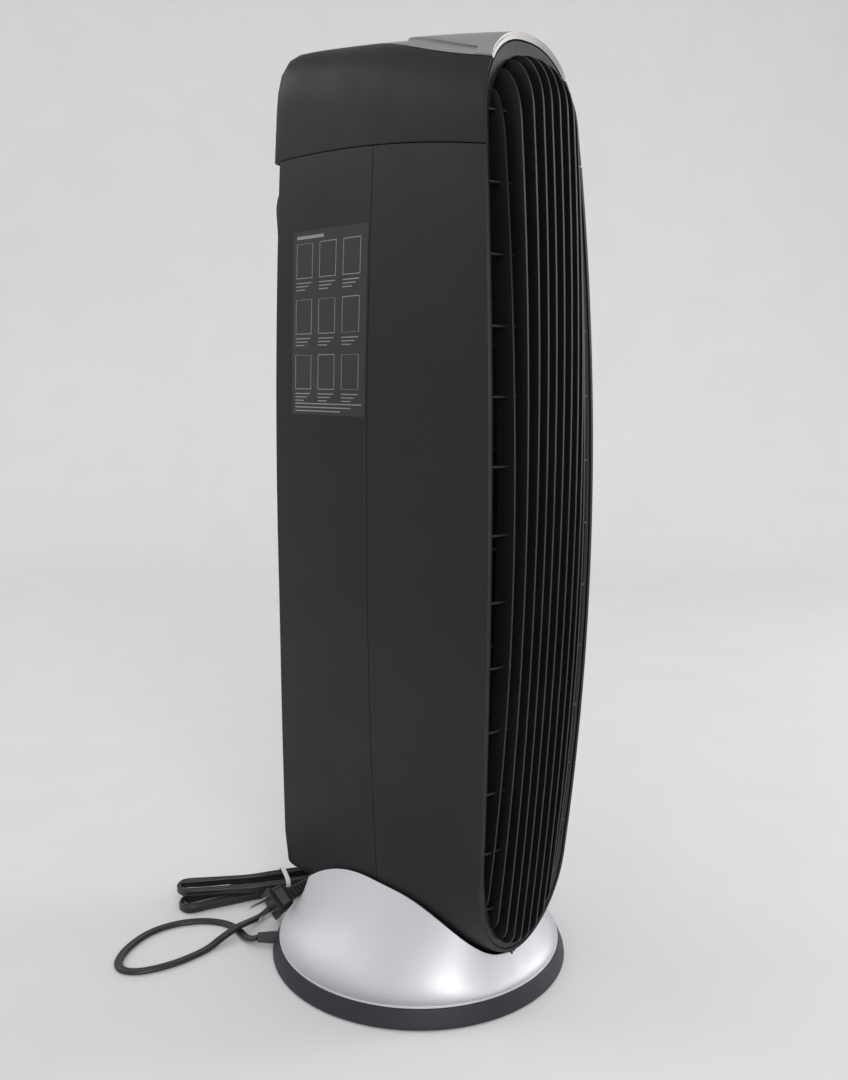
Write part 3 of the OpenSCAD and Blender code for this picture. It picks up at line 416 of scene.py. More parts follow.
def hank_path():
    """The folded length: runs up and down the hank, wound inward on the floor and outward on top."""
    low, high = HANK_LOW, HANK_HIGH
    runs = [(-13.4, low), (13.5, low), (-9.6, low), (9.7, low), (-5.8, low),
            (5.8, high), (-9.7, high), (9.6, high), (-13.5, high)]
    points = []
    for i, (u, w) in enumerate(runs):
        away = i % 2 == 0
        near, far = (8.0, HANK_LONG - 8) if away else (HANK_LONG - 8, 8.0)
        if i == 0:
            near = 82.0
        for share in (0.0, 0.25, 0.5, 0.75, 1.0) if i else (1.0,):
            bow = 0.5 * math.sin(math.pi * share) * (-1) ** (i // 2)
            points.append(fanned(near + (far - near) * share, u + bow, w + 0.25 * math.sin(5 * share + i)))
        if i == len(runs) - 1:
            break
        next_u, next_w = runs[i + 1]
        radius = abs(next_u - u) / 2
        # inner folds reach further than their turn needs
        extra = 0.8 * (13.6 - radius) * (0.3 + 0.35 * (i % 3)) + 4.5
        for turn in (-80, -45, 0, 45, 80):
            a = math.radians(turn)
            out = extra + radius * math.cos(a)
            share = (math.sin(a) + 1) / 2
            points.append(fanned(HANK_LONG + out if away else -out, u + (next_u - u) * share,
                                 w + (next_w - w) * share))
    return points


def flat_cord(line, roll):
    """Sweeps the two-core flat section along the line; roll 0 lies flat and 90 stands on edge."""
    tangents = np.gradient(line, axis=0)
    tangents /= np.linalg.norm(tangents, axis=1)[:, None]
    level = np.cross(tangents, (0, 0, 1))
    level /= np.maximum(np.linalg.norm(level, axis=1), 1e-6)[:, None]
    above = np.cross(level, tangents)
    lobe = [math.radians(a) for a in range(-126, 127, 28)]
    section = [(r * (1 + math.cos(a)), r * math.sin(a)) for r in (CORE_R, -CORE_R) for a in lobe]
    verts = []
    for p, across, up, turn in zip(line, level, above, np.radians(roll)):
        wide = across * math.cos(turn) + up * math.sin(turn)
        thin = up * math.cos(turn) - across * math.sin(turn)
        verts += [p + wide * a + thin * b for a, b in section]
    count = len(section)
    faces = grid_faces(len(line), count, wrap_cols=True) + flat_ends(verts, count)
    piece = add_object("power_cord", mesh_of("power_cord", verts, faces), "tower",
                       ["cord_run", "cord_hank", "cord_lead"])
    piece.data.shade_smooth()
    piece.data.set_sharp_from_angle(angle=math.radians(50))
    piece.data.materials.append(CORD)
    return piece


def add_cord():
    folded = hank_path()
    line = through(RUN[:-1] + folded + LEAD[1:], STEPS)
    # flat on the floor, on edge in the hank, flat again to the plug
    edge_from, edge_to = (len(RUN) - 1) * STEPS, (len(RUN) - 1 + len(folded)) * STEPS
    index = np.arange(len(line))
    roll = 90 * np.clip((index - edge_from + 16) / 24, 0, 1) * np.clip((edge_to + 40 - index) / 48, 0, 1)
    line[:, 2] = np.maximum(line[:, 2], CORE_R * (1.1 + np.sin(np.radians(roll))))
    return flat_cord(line, roll), 0.001 * line


cord, cord_line = add_cord()


# ---------- tower shells
def side_levels():
    """Levels down the shells: shares of the way up to the cap's seam, then heights round the bottom."""
    upper = np.linspace(1, 0, 26)
    lower = TOWER_BOTTOM + (BEND_Z - TOWER_BOTTOM) * (1 - np.sin(np.linspace(0, math.pi / 2, 40)[1:]))
    return upper, lower


def shell_z(y, share):
    """Height at a share of the way from the bend up to just under the cap's seam."""
    return BEND_Z + (seam_z(y) - 0.2 - BEND_Z) * share


def shell_rows(depths):
    """Points of one half of a shell's skin: depths(z) gives the y positions at that height."""
    upper, lower = side_levels()
    rows = []
    for share in upper:
        y = depths(BEND_Z + (seam_z(SEAM_FRONT_Y) - BEND_Z) * share)
        z = shell_z(y, share)
        rows.append(np.stack([tower_w(y, z), y, z], axis=1))
    for z in lower:
        y = depths(z)
        level = np.maximum(z, keel_z(y))
        rows.append(np.stack([tower_w(y, level), y, level], axis=1))
    return rows


def both_sides(rows):
    """One half's rows from the top down to the middle line, then the other half's back up."""
    left = [r * (-1, 1, 1) for r in rows]
    return left + rows[-2::-1]


SHELL_FINISH = {"bevel": 0.7, "segments": 3, "thickness": SKIN, "limit": 50}


def add_front_shell():
    shares = np.array([0, 0.004, 0.03, 0.1, 0.22, 0.36, 0.5, 0.64, 0.78, 0.9, 0.98, 1.0])
    rows = both_sides(shell_rows(lambda z: rim_y(z) + (-0.3 - rim_y(z)) * shares))
    skin = (np.concatenate(rows), grid_faces(len(rows), len(shares)))
    add_piece("front_shell_skin", [skin], "satin_black", "front_shell", BLACK, even=False, **SHELL_FINISH)


def rear_depth(z):
    u = max(0, HEEL_Z - z) / (HEEL_Z - TOWER_BOTTOM)
    return HEEL_Y + (rear_edge(max(z, HEEL_Z)) - HEEL_Y) * math.sqrt(1 - min(1, u) ** 2)


def add_rear_shell():
    upper, lower = side_levels()
    side_cols, corner_cols, back_cols = 9, 6, 7
    sill = DOOR_LOW - 1.0
    points, closed = [], []
    # levels with a share follow the cap's seam; the others are flat, one of them exactly at the sill
    levels = [(BEND_Z + (seam_z(SEAM_REAR_Y) - BEND_Z) * share, share) for share in upper]
    levels += [(z, None) for z in sorted([sill, *lower], reverse=True)]
    for height, share in levels:
        back = rear_depth(height)
        width = float(tower_w(back, height))
        # the corner opens out below the sill, as far as the width there allows
        corner = min(2 + 4 * float(np.clip((sill - height) / 22, 0, 1)), 0.85 * width + 0.01)

        def level(y, height=height, share=share):
            return height if share is None else float(shell_z(y, share))

        sides = np.linspace(0.3, back - corner, side_cols)
        half = [(float(tower_w(y, level(y))), y, level(y)) for y in sides]
        for a in np.linspace(0, math.pi / 2, corner_cols)[1:]:
            y = back - corner + corner * math.sin(a)
            half.append((width - corner + corner * math.cos(a), y, level(y)))
        half += [(x, back, half[-1][2]) for x in np.linspace(width - corner, 0, back_cols)[1:]]
        points.append([(-x, y, z) for x, y, z in half] + half[-2::-1])
        closed.append(height <= sill + 1e-6)
    cols = len(points[0])
    open_from, open_to = side_cols + corner_cols - 2, cols - side_cols - corner_cols + 1
    faces = grid_faces(len(points), cols, keep=lambda i, j: closed[i] or not open_from <= j < open_to)
    skin = ([p for row in points for p in row], faces)
    add_piece("rear_shell_skin", [skin], "satin_black", "rear_shell", BLACK, **SHELL_FINISH)


# ---------- cap, silver bezel and control tongue
def hood(y):
    """Spring height, crest height and squareness of the cap's cross-section."""
    share = np.clip((y - CREST_FROM) / HOOD_LONG, 0, 1)
    crest = crest_z(np.minimum(y, SHOULDER_Y))
    back = np.clip((y - SHOULDER_Y) / (CAP_REAR - SHOULDER_Y), 0, 1)
    crest = SHOULDER_Z + (crest - SHOULDER_Z) * end_curve(back, SHOULDER_N)
    spring = np.minimum(FRONT_TOP - END_H + HOOD_RISE * share, crest - 1)
    return spring, crest, CROWN_N + HOOD_SQUARE * share


def hood_w(y, z):
    spring, crest, power = hood(y)
    width = barrel(z) * end_curve((z - spring) / (crest - spring), power)
    return np.where(z > crest, -3 * (z - crest), width)


def hood_z(x, y, proud=0.0):
    """Height of the cap's upper surface at a plan position."""
    spring, crest, power = hood(y)
    # the barrel's width depends on the height, so refine a first guess
    z = np.full_like(np.asarray(x, float) + y, 690.0)
    for _ in range(4):
        z = spring + (crest - spring) * end_curve(np.abs(x) / barrel(z), power)
    return z + proud


def hood_row(x, y, proud=0.0):
    """A row of points along the cap's upper surface at x."""
    across = np.full_like(y, x)
    return np.stack([across, y, hood_z(across, y, proud)], axis=1)


def lip_y(x):
    """Where the cap's upper surface ends at the front rim."""
    return float(rim_y(hood_z(x, -100.0)))


def on_hood(start, toward):
    """Where a ray from inside meets the cap's outer surface, with its rear corners rounded in plan."""
    near, far = np.zeros(len(start)), np.full(len(start), 260.0)
    # halve the stretch that holds the crossing
    for _ in range(44):
        middle = (near + far) / 2
        p = start + toward * middle[:, None]
        side = np.abs(p[:, 0]) - hood_w(p[:, 1], p[:, 2])
        back = p[:, 1] - CAP_REAR
        blend = np.maximum(CORNER_R - np.abs(side - back), 0)
        outside = np.maximum(side, back) + blend ** 2 / (4 * CORNER_R) > 0
        near, far = np.where(outside, near, middle), np.where(outside, middle, far)
    return start + toward * ((near + far) / 2)[:, None]


def oval_back(oval, x):
    """Rear end of an oval plan at a place across it."""
    return oval[1] + oval[2] * np.sqrt(np.maximum(0, 1 - (x / oval[0]) ** 2))


CORE_Y, CORE_Z, CAP_SIDE = 70, 636.0, 60


def cap_columns(gap):
    """Plan of the bezel's edge from front left round to front right, and the seam point below each place."""
    wide, middle, long = BEZEL_OVAL
    turn = math.radians(66)
    edge = [(-wide - gap, y) for y in np.linspace(-100, middle, 6)[:-1]]
    seam = [(-CAP_SIDE, y) for _, y in edge]
    half = np.concatenate([np.linspace(0, turn, 30)[:-1], np.linspace(turn, math.pi / 2, 13)])
    for a in half:
        x, y = -(wide + gap) * math.cos(a), middle + (long + gap) * math.sin(a)
        edge.append((x, y))
        # past the oval's sides the columns fan out to the rear corners and over the back
        if a < turn:
            seam.append((-CAP_SIDE, y + (CAP_REAR - middle - long * math.sin(turn)) * (a / turn) ** 2))
        else:
            seam.append((-CAP_SIDE + CAP_SIDE * (a - turn) / (math.pi / 2 - turn), CAP_REAR + 4))
    edge += [(-x, y) for x, y in edge[-2::-1]]
    seam += [(-x, y) for x, y in seam[-2::-1]]
    return np.array(edge), np.array(seam)


def add_cap():
    edge, seam = cap_columns(0.4)
    count = len(edge)
    inner_z = hood_z(edge[:, 0], edge[:, 1])
    edge[:, 1] = np.where(edge[:, 1] < -90, np.maximum(edge[:, 1], rim_y(inner_z)), edge[:, 1])
    edge[0, 1] = edge[-1, 1] = rim_y(inner_z)[0]
    seam[0, 1] = seam[-1, 1] = rim_y(613)
    inner_z = hood_z(edge[:, 0], edge[:, 1])
    foot = seam_z(np.minimum(seam[:, 1], CAP_REAR)) + 0.4
    high = np.stack([edge[:, 0], edge[:, 1], inner_z], axis=1)
    low = np.stack([seam[:, 0], seam[:, 1], foot], axis=1)
    rows = []
    # sweep each column from the seam up over the shoulder to the bezel's edge
    for share in np.linspace(0, 1, 25)[:-1]:
        target = low + (high - low) * share
        origin = np.stack([np.zeros(count), np.minimum(target[:, 1], CORE_Y), np.full(count, CORE_Z)], axis=1)
        if share == 0:
            origin[:, 2] = foot
        direction = target - origin
        row = on_hood(origin, direction / np.linalg.norm(direction, axis=1)[:, None])
        row[[0, -1], 1] = rim_y(row[[0, -1], 2])
        rows.append(row)
        if share == 0:
            low = row
    skin = (np.concatenate(rows + [high]), grid_faces(len(rows) + 1, count))
    # the cap gets the darker copy of the satin black, painted shade
    add_piece("cap_skin", [skin], "satin_black", "top_cap", SHADED_CAP, even=False, **SHELL_FINISH)


def cut(piece, cutters):
    """Cuts bores and pockets out of a piece, then removes the cutting shapes."""
    for k, cutter in enumerate(cutters):
        work = piece.modifiers.new(f"cut{k}", "BOOLEAN")
        work.operation = "DIFFERENCE"
        work.solver = "EXACT"
        work.object = cutter
    applied(piece)
    for cutter in cutters:
        bpy.data.objects.remove(cutter)


def on_deck(x, y, z):
    """A point given on the tilted control deck."""
    c, s = math.cos(DECK_TILT), math.sin(DECK_TILT)
    return (x, DECK_Y + y * c - z * s, float(crest_z(DECK_Y)) + y * s + z * c)


def turned(profile, steps, place, closed=False):
    """A turned shape from radii and heights, put in its place; one that isn't closed gets flat ends."""
    turn = np.linspace(0, 2 * math.pi, steps + 1)[:-1]
    points = [place(r * math.cos(a), r * math.sin(a), z) for r, z in profile for a in turn]
    faces = grid_faces(len(profile), steps, wrap_cols=True, wrap_rows=closed)
    return points, faces if closed else faces + flat_ends(points, steps)


def cutter_of(points, faces):
    cutter = bpy.data.objects.new("cutter", mesh_of("cutter", points, faces))
    scene.collection.objects.link(cutter)
    return cutter


def deck_cutters(extra):
    """Bores for the three buttons and a slot for the lens."""
    r = BUTTON_R + extra
    cutters = [cutter_of(*turned([(r, -9), (r, 9)], 64, lambda a, b, z, y=y: on_deck(a, y + b, z)))
               for y in BUTTON_Y]
    low = (-LENS_HALF - extra, LENS_Y[0] - extra, -9)
    high = (LENS_HALF + extra, LENS_Y[1] + extra, 9)
    return cutters + [cutter_of(*box_parts(low, high, on_deck))]


def box_parts(low, high, place=lambda x, y, z: (x, y, z)):
    """Corners and faces of a box, each corner placed by a function."""
    corners = [place(x, y, z) for x, y, z in itertools.product(*zip(low, high))]
    return corners, [(0, 1, 3, 2), (4, 6, 7, 5), (0, 4, 5, 1), (2, 3, 7, 6), (0, 2, 6, 4), (1, 5, 7, 3)]


def add_deck_piece(name, node, rows, faces, bevel, thickness):
    """A silver panel of the top, with the bores and the slot of the controls cut through it."""
    # the top's panels get the darker copy of the silver paint, painted shade
    piece = add_piece(name, [(np.concatenate(rows), faces)], "silver_paint", node, SHADED_SILVER, bevel=bevel,
                      segments=3, thickness=thickness, limit=50)
    cut(piece, deck_cutters(0.3))
    finish_mesh(piece, SHADED_SILVER)


def add_bezel():
    rows = []
    for x in BEZEL_OVAL[0] * np.sin(np.linspace(-math.pi / 2, math.pi / 2, 61)):
        rows.append(hood_row(x, np.linspace(lip_y(x), float(oval_back(BEZEL_OVAL, x)), 44)))
    add_deck_piece("bezel_skin", "top_bezel", rows, grid_faces(len(rows), 44), 0.5, WALL)


def add_tongue():
    """A shallow panel standing proud of the bezel, widening at the front into the lip over the grille."""
    reach = TONGUE_OVAL[0] * math.sqrt(1 - ((TONGUE_HOOK - TONGUE_OVAL[1]) / TONGUE_OVAL[2]) ** 2)
    inner = reach * np.sin(np.linspace(-math.pi / 2, math.pi / 2, 45))
    outer = np.linspace(reach, BEZEL_OVAL[0] - 0.1, 5)[1:]
    xs = np.concatenate([-outer[::-1], inner, outer])
    shares = np.linspace(0, 1, 9)
    rows = []
    for x in xs:
        front = lip_y(x) + 0.3
        back = max(float(oval_back(TONGUE_OVAL, x)), TONGUE_HOOK + 0.1)
        y = np.concatenate([front + (TONGUE_HOOK - front) * shares, np.linspace(TONGUE_HOOK, back, 31)[1:]])
        # the lip's two ends thin out towards the cap
        proud = TONGUE_RISE - 1.6 * max(0.0, abs(x) - reach) / (BEZEL_OVAL[0] - reach)
        rows.append(hood_row(x, y, proud))
    cols = len(rows[0])
    wide, narrow = len(outer), len(xs) - 1 - len(outer)
    faces = grid_faces(len(xs), cols, keep=lambda i, j: j < len(shares) - 1 or wide <= i < narrow)
    add_deck_piece("tongue_panel", "control_tongue", rows, faces, 0.45, TONGUE_RISE)


# ---------- buttons and lens
def add_button(name, y):
    top = [(0, 2.35), (2.4, 2.4), (4.3, 2.65), (5.1, 2.6), (BUTTON_R, 2.2), (BUTTON_R, -5), (0, -5)]
    key = turned(top, 48, lambda a, b, z: on_deck(a, y + b, z))
    add_piece(name + "_key", [key], "button_grey", name, KEY, name, bevel=0.2, angle=45)


def add_lens():
    bar = box_parts((-LENS_HALF, LENS_Y[0], -5.6), (LENS_HALF, LENS_Y[1], 2.3), on_deck)
    add_piece("lens_bar", [bar], "lens_dark", "indicator_lens", GLASS, bevel=0.9, segments=4, angle=45)


# ---------- grilles
def fin_x(i):
    return (i - (FIN_COUNT - 1) / 2) * FIN_PITCH


def fin_line(z):
    return FIN_AT + (z - FIN_MID_Z) ** 2 / FIN_CURVE


def fin_front(x, z):
    """Front line of a fin: the outer ones stand less proud of the rim than the middle ones."""
    outer = rim_y(z) - OUTER_PROUD * (1 - (np.maximum(0, OUTER_FADE_Z - z) / OUTER_FADE_H) ** 2)
    out = (abs(x) / fin_x(FIN_COUNT - 1)) ** 3.5
    return fin_line(z) * (1 - out) + outer * out


def open_top(x):
    return OPEN_Z[1] - OPEN_H[1] * (1 - float(end_curve(abs(x) / barrel(655, OPENING_INSET), OPEN_N)))


def open_low(x):
    return OPEN_Z[0] + OPEN_H[0] * (1 - float(end_curve(abs(x) / barrel(100, OPENING_INSET), 2)))


def fin_edge(z, top, low, root, line, ends):
    """Edge of a fin: a quarter ellipse out of the frame at each end and the bowed line between."""
    up = end_curve((z - top + ends[0]) / ends[0], 2)
    down = end_curve((low + ends[1] - z) / ends[1], 2)
    return root + (line - root) * np.minimum(up, down)


def fin_levels(top, low, ends):
    turn = np.linspace(0, math.pi / 2, 13)
    straight = np.linspace(top - ends[0], low + ends[1], 16)[1:-1]
    return np.concatenate([top - ends[0] + ends[0] * np.cos(turn), straight,
                           low + ends[1] - ends[1] * np.sin(turn)])


def slab_mesh(x, front, back, zs, half):
    """An upright plate across X at x, between two edge lines in the YZ plane."""
    points = []
    for f, b, z in zip(front, back, zs):
        points += [(x - half, f, z), (x + half, f, z), (x + half, b, z), (x - half, b, z)]
    return points, grid_faces(len(zs), 4, wrap_cols=True) + flat_ends(points, 4)


def frame_band(outlines, face, depth, sunk=(0, 0)):
    """The band round an opening, between an outer and an inner outline of heights and half widths."""
    loops = [[(w, z) for w, z in zip(ws, zs)] + [(-w, z) for w, z in zip(ws[::-1], zs[::-1])][1:-1]
             for zs, ws in outlines]
    points = []
    for (xo, zo), (xi, zi) in zip(*loops):
        points += [(xo, face(zo) + sunk[0], zo), (xi, face(zi) + sunk[1], zi),
                   (xi, face(zi) + depth, zi), (xo, face(zo) + depth, zo)]
    return points, grid_faces(len(loops[0]), 4, wrap_rows=True, wrap_cols=True)


def bowed_rib(z, w, y_side, y_mid, deep=2.2, half=0.8):
    """A cross rib of half width w that bows out from y_side to y_mid."""
    points = []
    for u in np.linspace(-1, 1, 21):
        y = y_mid + (y_side - y_mid) * u * u
        points += [(u * w, y, z - half), (u * w, y, z + half),
                   (u * w, y + deep, z + half), (u * w, y + deep, z - half)]
    return points, grid_faces(21, 4, wrap_cols=True) + flat_ends(points, 4)


def opening_w(z):
    low = end_curve((OPEN_Z[0] + OPEN_H[0] - z) / OPEN_H[0], 2)
    return barrel(z, OPENING_INSET) * low * end_curve((z - OPEN_Z[1] + OPEN_H[1]) / OPEN_H[1], OPEN_N)


def front_outlines():
    outer = loop_zs(GRILLE_INSET, TOE_Z, END_H, FRONT_TOP, END_H, 26)
    inner = loop_zs(0, OPEN_Z[0], OPEN_H[0], OPEN_Z[1], OPEN_H[1], 26)
    return (outer, front_w(outer, GRILLE_INSET)), (inner, opening_w(inner))


def add_louvres(body, node, parts_by_name):
    """The frame, the fins and the ribs of one grille."""
    finishes = ({"bevel": 0.8, "segments": 3, "limit": 40}, {"bevel": 0.5, "angle": 50, "limit": 50},
                {"bevel": 0.4, "angle": 50, "limit": 50})
    for (name, parts), finish in zip(parts_by_name.items(), finishes):
        add_piece(name, parts, "grille_black", node, LOUVRE, body, **finish)


def add_front_grille():
    band = frame_band(front_outlines(), rim_y, GRILLE_DEEP, (0.7, 1.5))
    fins = []
    for i in range(FIN_COUNT):
        x = fin_x(i)
        top, low = open_top(x) + 1, open_low(x) - 1
        zs = fin_levels(top, low, FIN_ENDS)
        front = fin_edge(zs, top, low, rim_y(zs) + 1.5, fin_front(x, zs), FIN_ENDS)
        fins.append(slab_mesh(x, front, rim_y(zs) + GRILLE_DEEP, zs, FIN_T / 2))
    ribs = []
    for k in range(RIB_COUNT):
        z = RIB_Z + k * RIB_PITCH
        side = rim_y(z) + 1
        ribs.append(bowed_rib(z, float(opening_w(z)) + 1, side, side + (fin_line(z) - rim_y(z)) * 0.35))
    add_louvres("tower", "front_grille", {"grille_frame": [band], "front_fins": fins, "front_ribs": ribs})


def door_face(z):
    return rear_edge(z) + 0.5


def door_line(z):
    return DOOR_FIN_AT + DOOR_BULGE * (np.maximum(0, z - BULGE_Z) / BULGE_H) ** 1.3


def door_w(z, t):
    low = end_curve((DOOR_LOW + DOOR_H[0] - z) / (DOOR_H[0] - t), DOOR_N)
    return barrel(z, t) * low * end_curve((z - DOOR_TOP + DOOR_H[1]) / (DOOR_H[1] - t), DOOR_N)


def door_outline(t):
    zs = loop_zs(t, DOOR_LOW, DOOR_H[0], DOOR_TOP, DOOR_H[1], 14)
    return zs, door_w(zs, t)


def add_rear_door():
    band = frame_band([door_outline(t) for t in (DOOR_INSET, DOOR_OPENING)], door_face, -DOOR_DEEP)
    fins = []
    for i in range(FIN_COUNT):
        x = fin_x(i)
        top = DOOR_TOP - DOOR_OPENING + 1
        # the outer fins start higher and stand less proud
        low = DOOR_LOW - 1 + DOOR_OPENING + 14 * (abs(x) / DOOR_HALF) ** 4
        zs = fin_levels(top, low, DOOR_FIN_ENDS)
        line = 6.5 * (x / DOOR_HALF) ** 2 - door_line(zs)
        front = -fin_edge(zs, top, low, -door_face(zs) + 1.5, line, DOOR_FIN_ENDS)
        fins.append(slab_mesh(x, front, door_face(zs) - DOOR_DEEP, zs, FIN_T / 2))
    ribs = []
    for k in range(RIB_COUNT - 1):
        z = RIB_Z + (k + 0.4) * RIB_PITCH
        side = float(door_face(z)) - 5
        ribs.append(bowed_rib(z, float(door_w(z, DOOR_OPENING)) + 1, side,
                              side + float(door_line(z) - door_face(z)) * 0.75))
    # two lugs for the hinge pins
    ribs += [box_parts((x - 2.5, 108, 80), (x + 2.5, 116, 94)) for x in (-37.5, 37.5)]
    add_louvres("door", "rear_door", {"door_frame": [band], "door_fins": fins, "door_ribs": ribs})


# ---------- foot
def wing_edge(y):
    """Height of the pedestal's wing: level beside the middle, falling off to the front and the back."""
    front, back = WING_LEVEL
    if y < front:
        return RIM_LOW + (WING_Z - RIM_LOW) * (1 - ((front - y) / (front - RIM_FRONT)) ** 2.5) ** 0.8
    return WING_Z - (WING_Z - RIM_LOW) * (max(0, y - back) / (RIM_BACK - back)) ** 2.17


def rim_point(a, extra):
    """Upper edge of the pedestal at an angle measured from the front, standing off the tower by extra."""
    middle, half = (RIM_FRONT + RIM_BACK) / 2, (RIM_BACK - RIM_FRONT) / 2
    y = middle - half * math.cos(a)
    z = wing_edge(y)
    reach = math.sin(a) * min(1 / max(0.001, abs(math.sin(a))), 5)
    width = float(tower_w(y, z + HEEL_GAP * (max(0, y) / RIM_BACK) ** 2))
    return reach * (width + extra), middle - (half + extra) * math.cos(a), z


def add_pedestal():
    steps, rises, lip = 180, 42, 1.8
    r, foot_z = FOOT_R - 5.6, RING_H + 0.1
    lip_z = foot_z + lip
    points = []
    for a in np.linspace(0, 2 * math.pi, steps + 1)[:-1]:
        x, y = r * math.sin(a), -r * math.cos(a)
        rim_x, rim_depth, rim_z = rim_point(a, 3.3)
        points.append((x, y, foot_z))
        points += [(x * (1 - u) + rim_x * u, y * (1 - u) + rim_depth * u, lip_z + (rim_z - lip_z) * u ** 1.9)
                   for u in np.linspace(0, 1, rises)]
    # the pedestal gets the lighter copy of the silver paint, painted light
    add_piece("pedestal_skin", [(points, grid_faces(steps, rises + 1, wrap_rows=True))], "silver_paint",
              "pedestal", LIT_SILVER, bevel=0.8, segments=3, thickness=WALL, limit=40)


def add_ring():
    profile = [(FOOT_R - 10, 0.8), (FOOT_R - 1, 0.8), (FOOT_R, 1.8), (FOOT_R - 0.6, 5),
               (FOOT_R - 4.6, RING_H - 0.5), (FOOT_R - 5.4, RING_H), (FOOT_R - 9, RING_H),
               (FOOT_R - 10, RING_H - 2)]
    ring = turned(profile, 192, lambda x, y, z: (x, y, z), closed=True)
    add_piece("foot_ring", [ring], "ring_black", "base_ring", RING, bevel=0.5, segments=3, angle=30,
              limit=20)


# ---------- plug, tie and label
def at_plug(x, y, z):
    """A point in the plug's own frame: +X along the cord, -X along the blades."""
    roll, tilt = PLUG_ROLL, PLUG_TILT
    y, z = y * math.cos(roll) - z * math.sin(roll), y * math.sin(roll) + z * math.cos(roll)
    x, z = x * math.cos(tilt) + z * math.sin(tilt), z * math.cos(tilt) - x * math.sin(tilt)
    return (PLUG_AT[0] + x, PLUG_AT[1] + y, PLUG_AT[2] + z)


def rounded_section(x, w, h, r, corner=5):
    """A rounded rectangle across the plug at x."""
    points = []
    for cx, cy, start in ((w - r, h - r, 0), (r - w, h - r, 90), (r - w, r - h, 180), (w - r, r - h, 270)):
        for k in range(corner):
            a = math.radians(start + 90 * k / (corner - 1))
            points.append(at_plug(x, cx + r * math.cos(a), cy + r * math.sin(a)))
    return points


def lofted(sizes, r=2.4):
    """A closed body through rounded sections, each given by its place, half width and half height."""
    points = [p for x, w, h in sizes for p in rounded_section(x, w, h, r)]
    count = len(points) // len(sizes)
    return points, grid_faces(len(sizes), count, wrap_cols=True) + flat_ends(points, count)


def add_plug():
    flange = lofted([(0, FLANGE_W, FLANGE_H), (3, FLANGE_W, FLANGE_H)], 2.5)
    body = lofted([(2, 10.4, 7.5), (12.5, 10.4, 7.5), (15.5, 9.4, 6.8), (18, 7.4, 5.8), (19.5, 6.2, 5.2)])
    # the strain relief: ribs that taper towards the cord
    ribs = [(17, 5.6, 5.0)]
    for k in range(7):
        x, shrink = 19.4 + 3.8 * k, 0.25 * k
        ribs += [(x, 5.6 - shrink, 5.1 - shrink), (x + 1.9, 5.6 - shrink, 5.1 - shrink),
                 (x + 2.1, 4.6 - shrink, 4.0 - shrink), (x + 3.6, 4.6 - shrink, 4.0 - shrink)]
    add_piece("plug_shell", [flange, body, lofted(ribs)], "cord_black", "plug_body", PLUG, bevel=0.5,
              segments=3, limit=35)
    # a lighter panel let into both broad sides, in a raised dark frame
    panels, frames = [], []
    for s in (-1, 1):
        def side(x, y, z, s=s):
            return at_plug(x, y, s * z)
        panels.append(box_parts((4.6, -7.4, 7.2), (13.4, 7.4, 7.75), side))
        for x0, x1, y0, y1 in ((3.8, 4.9, -8.6, 8.6), (13.1, 14.2, -8.6, 8.6),
                               (3.8, 14.2, -8.6, -7.2), (3.8, 14.2, 7.2, 8.6)):
            frames.append(box_parts((x0, y0, 7.2), (x1, y1, 8.1), side))
    add_piece("plug_panels", panels, "cord_black", "plug_body", PLUG_FACE, bevel=0.2)
    add_piece("plug_frames", frames, "cord_black", "plug_body", PLUG, bevel=0.25)
    for name, y, half_h in (("wide", PRONG_Y, 3.95), ("narrow", -PRONG_Y, 3.15)):
        blade = box_parts((-17.4, y - 0.7, -half_h), (1, y + 0.7, half_h), at_plug)
        piece = add_piece(f"plug_blade_{name}", [blade], "plug_metal", "plug_blades", BRASS, bevel=0.55,
                          segments=3)
        hole = turned([(1.6, y - 3), (1.6, y + 3)], 24, lambda a, b, across: at_plug(a - 13.6, across, b))
        cut(piece, [cutter_of(*hole)])
        finish_mesh(piece, BRASS)


def add_tie():
    """A paper strip wound once round the hank, its section a square with rounded, slightly bulging sides."""
    points = []
    for s in (HANK_LONG * TIE_SHARE - 2, HANK_LONG * TIE_SHARE + 2):
        for a in np.linspace(0, 2 * math.pi, 65)[:-1]:
            c, n = math.cos(a), math.sin(a)
            u = math.copysign(abs(c) ** 0.45, c) * 16.3
            w = 8.9 + math.copysign(abs(n) ** 0.45, n) * 8.4
            points.append(in_hank(s, u, w))
    add_piece("tie_strip", [(points, grid_faces(2, 64, wrap_cols=True))], "tie_white", "cord_tie", PAPER,
              bevel=0.1, angle=60, thickness=0.5, limit=60)


def on_side(y, z, proud):
    """A point on the tower's left side, standing proud of it."""
    return (-float(tower_w(y, z)) - proud, y, z)


def side_patch(y0, y1, z0, z1, proud=0.27, cols=2, rows=2):
    points = [on_side(y, z, proud) for z in np.linspace(z0, z1, rows) for y in np.linspace(y0, y1, cols)]
    return points, grid_faces(rows, cols)


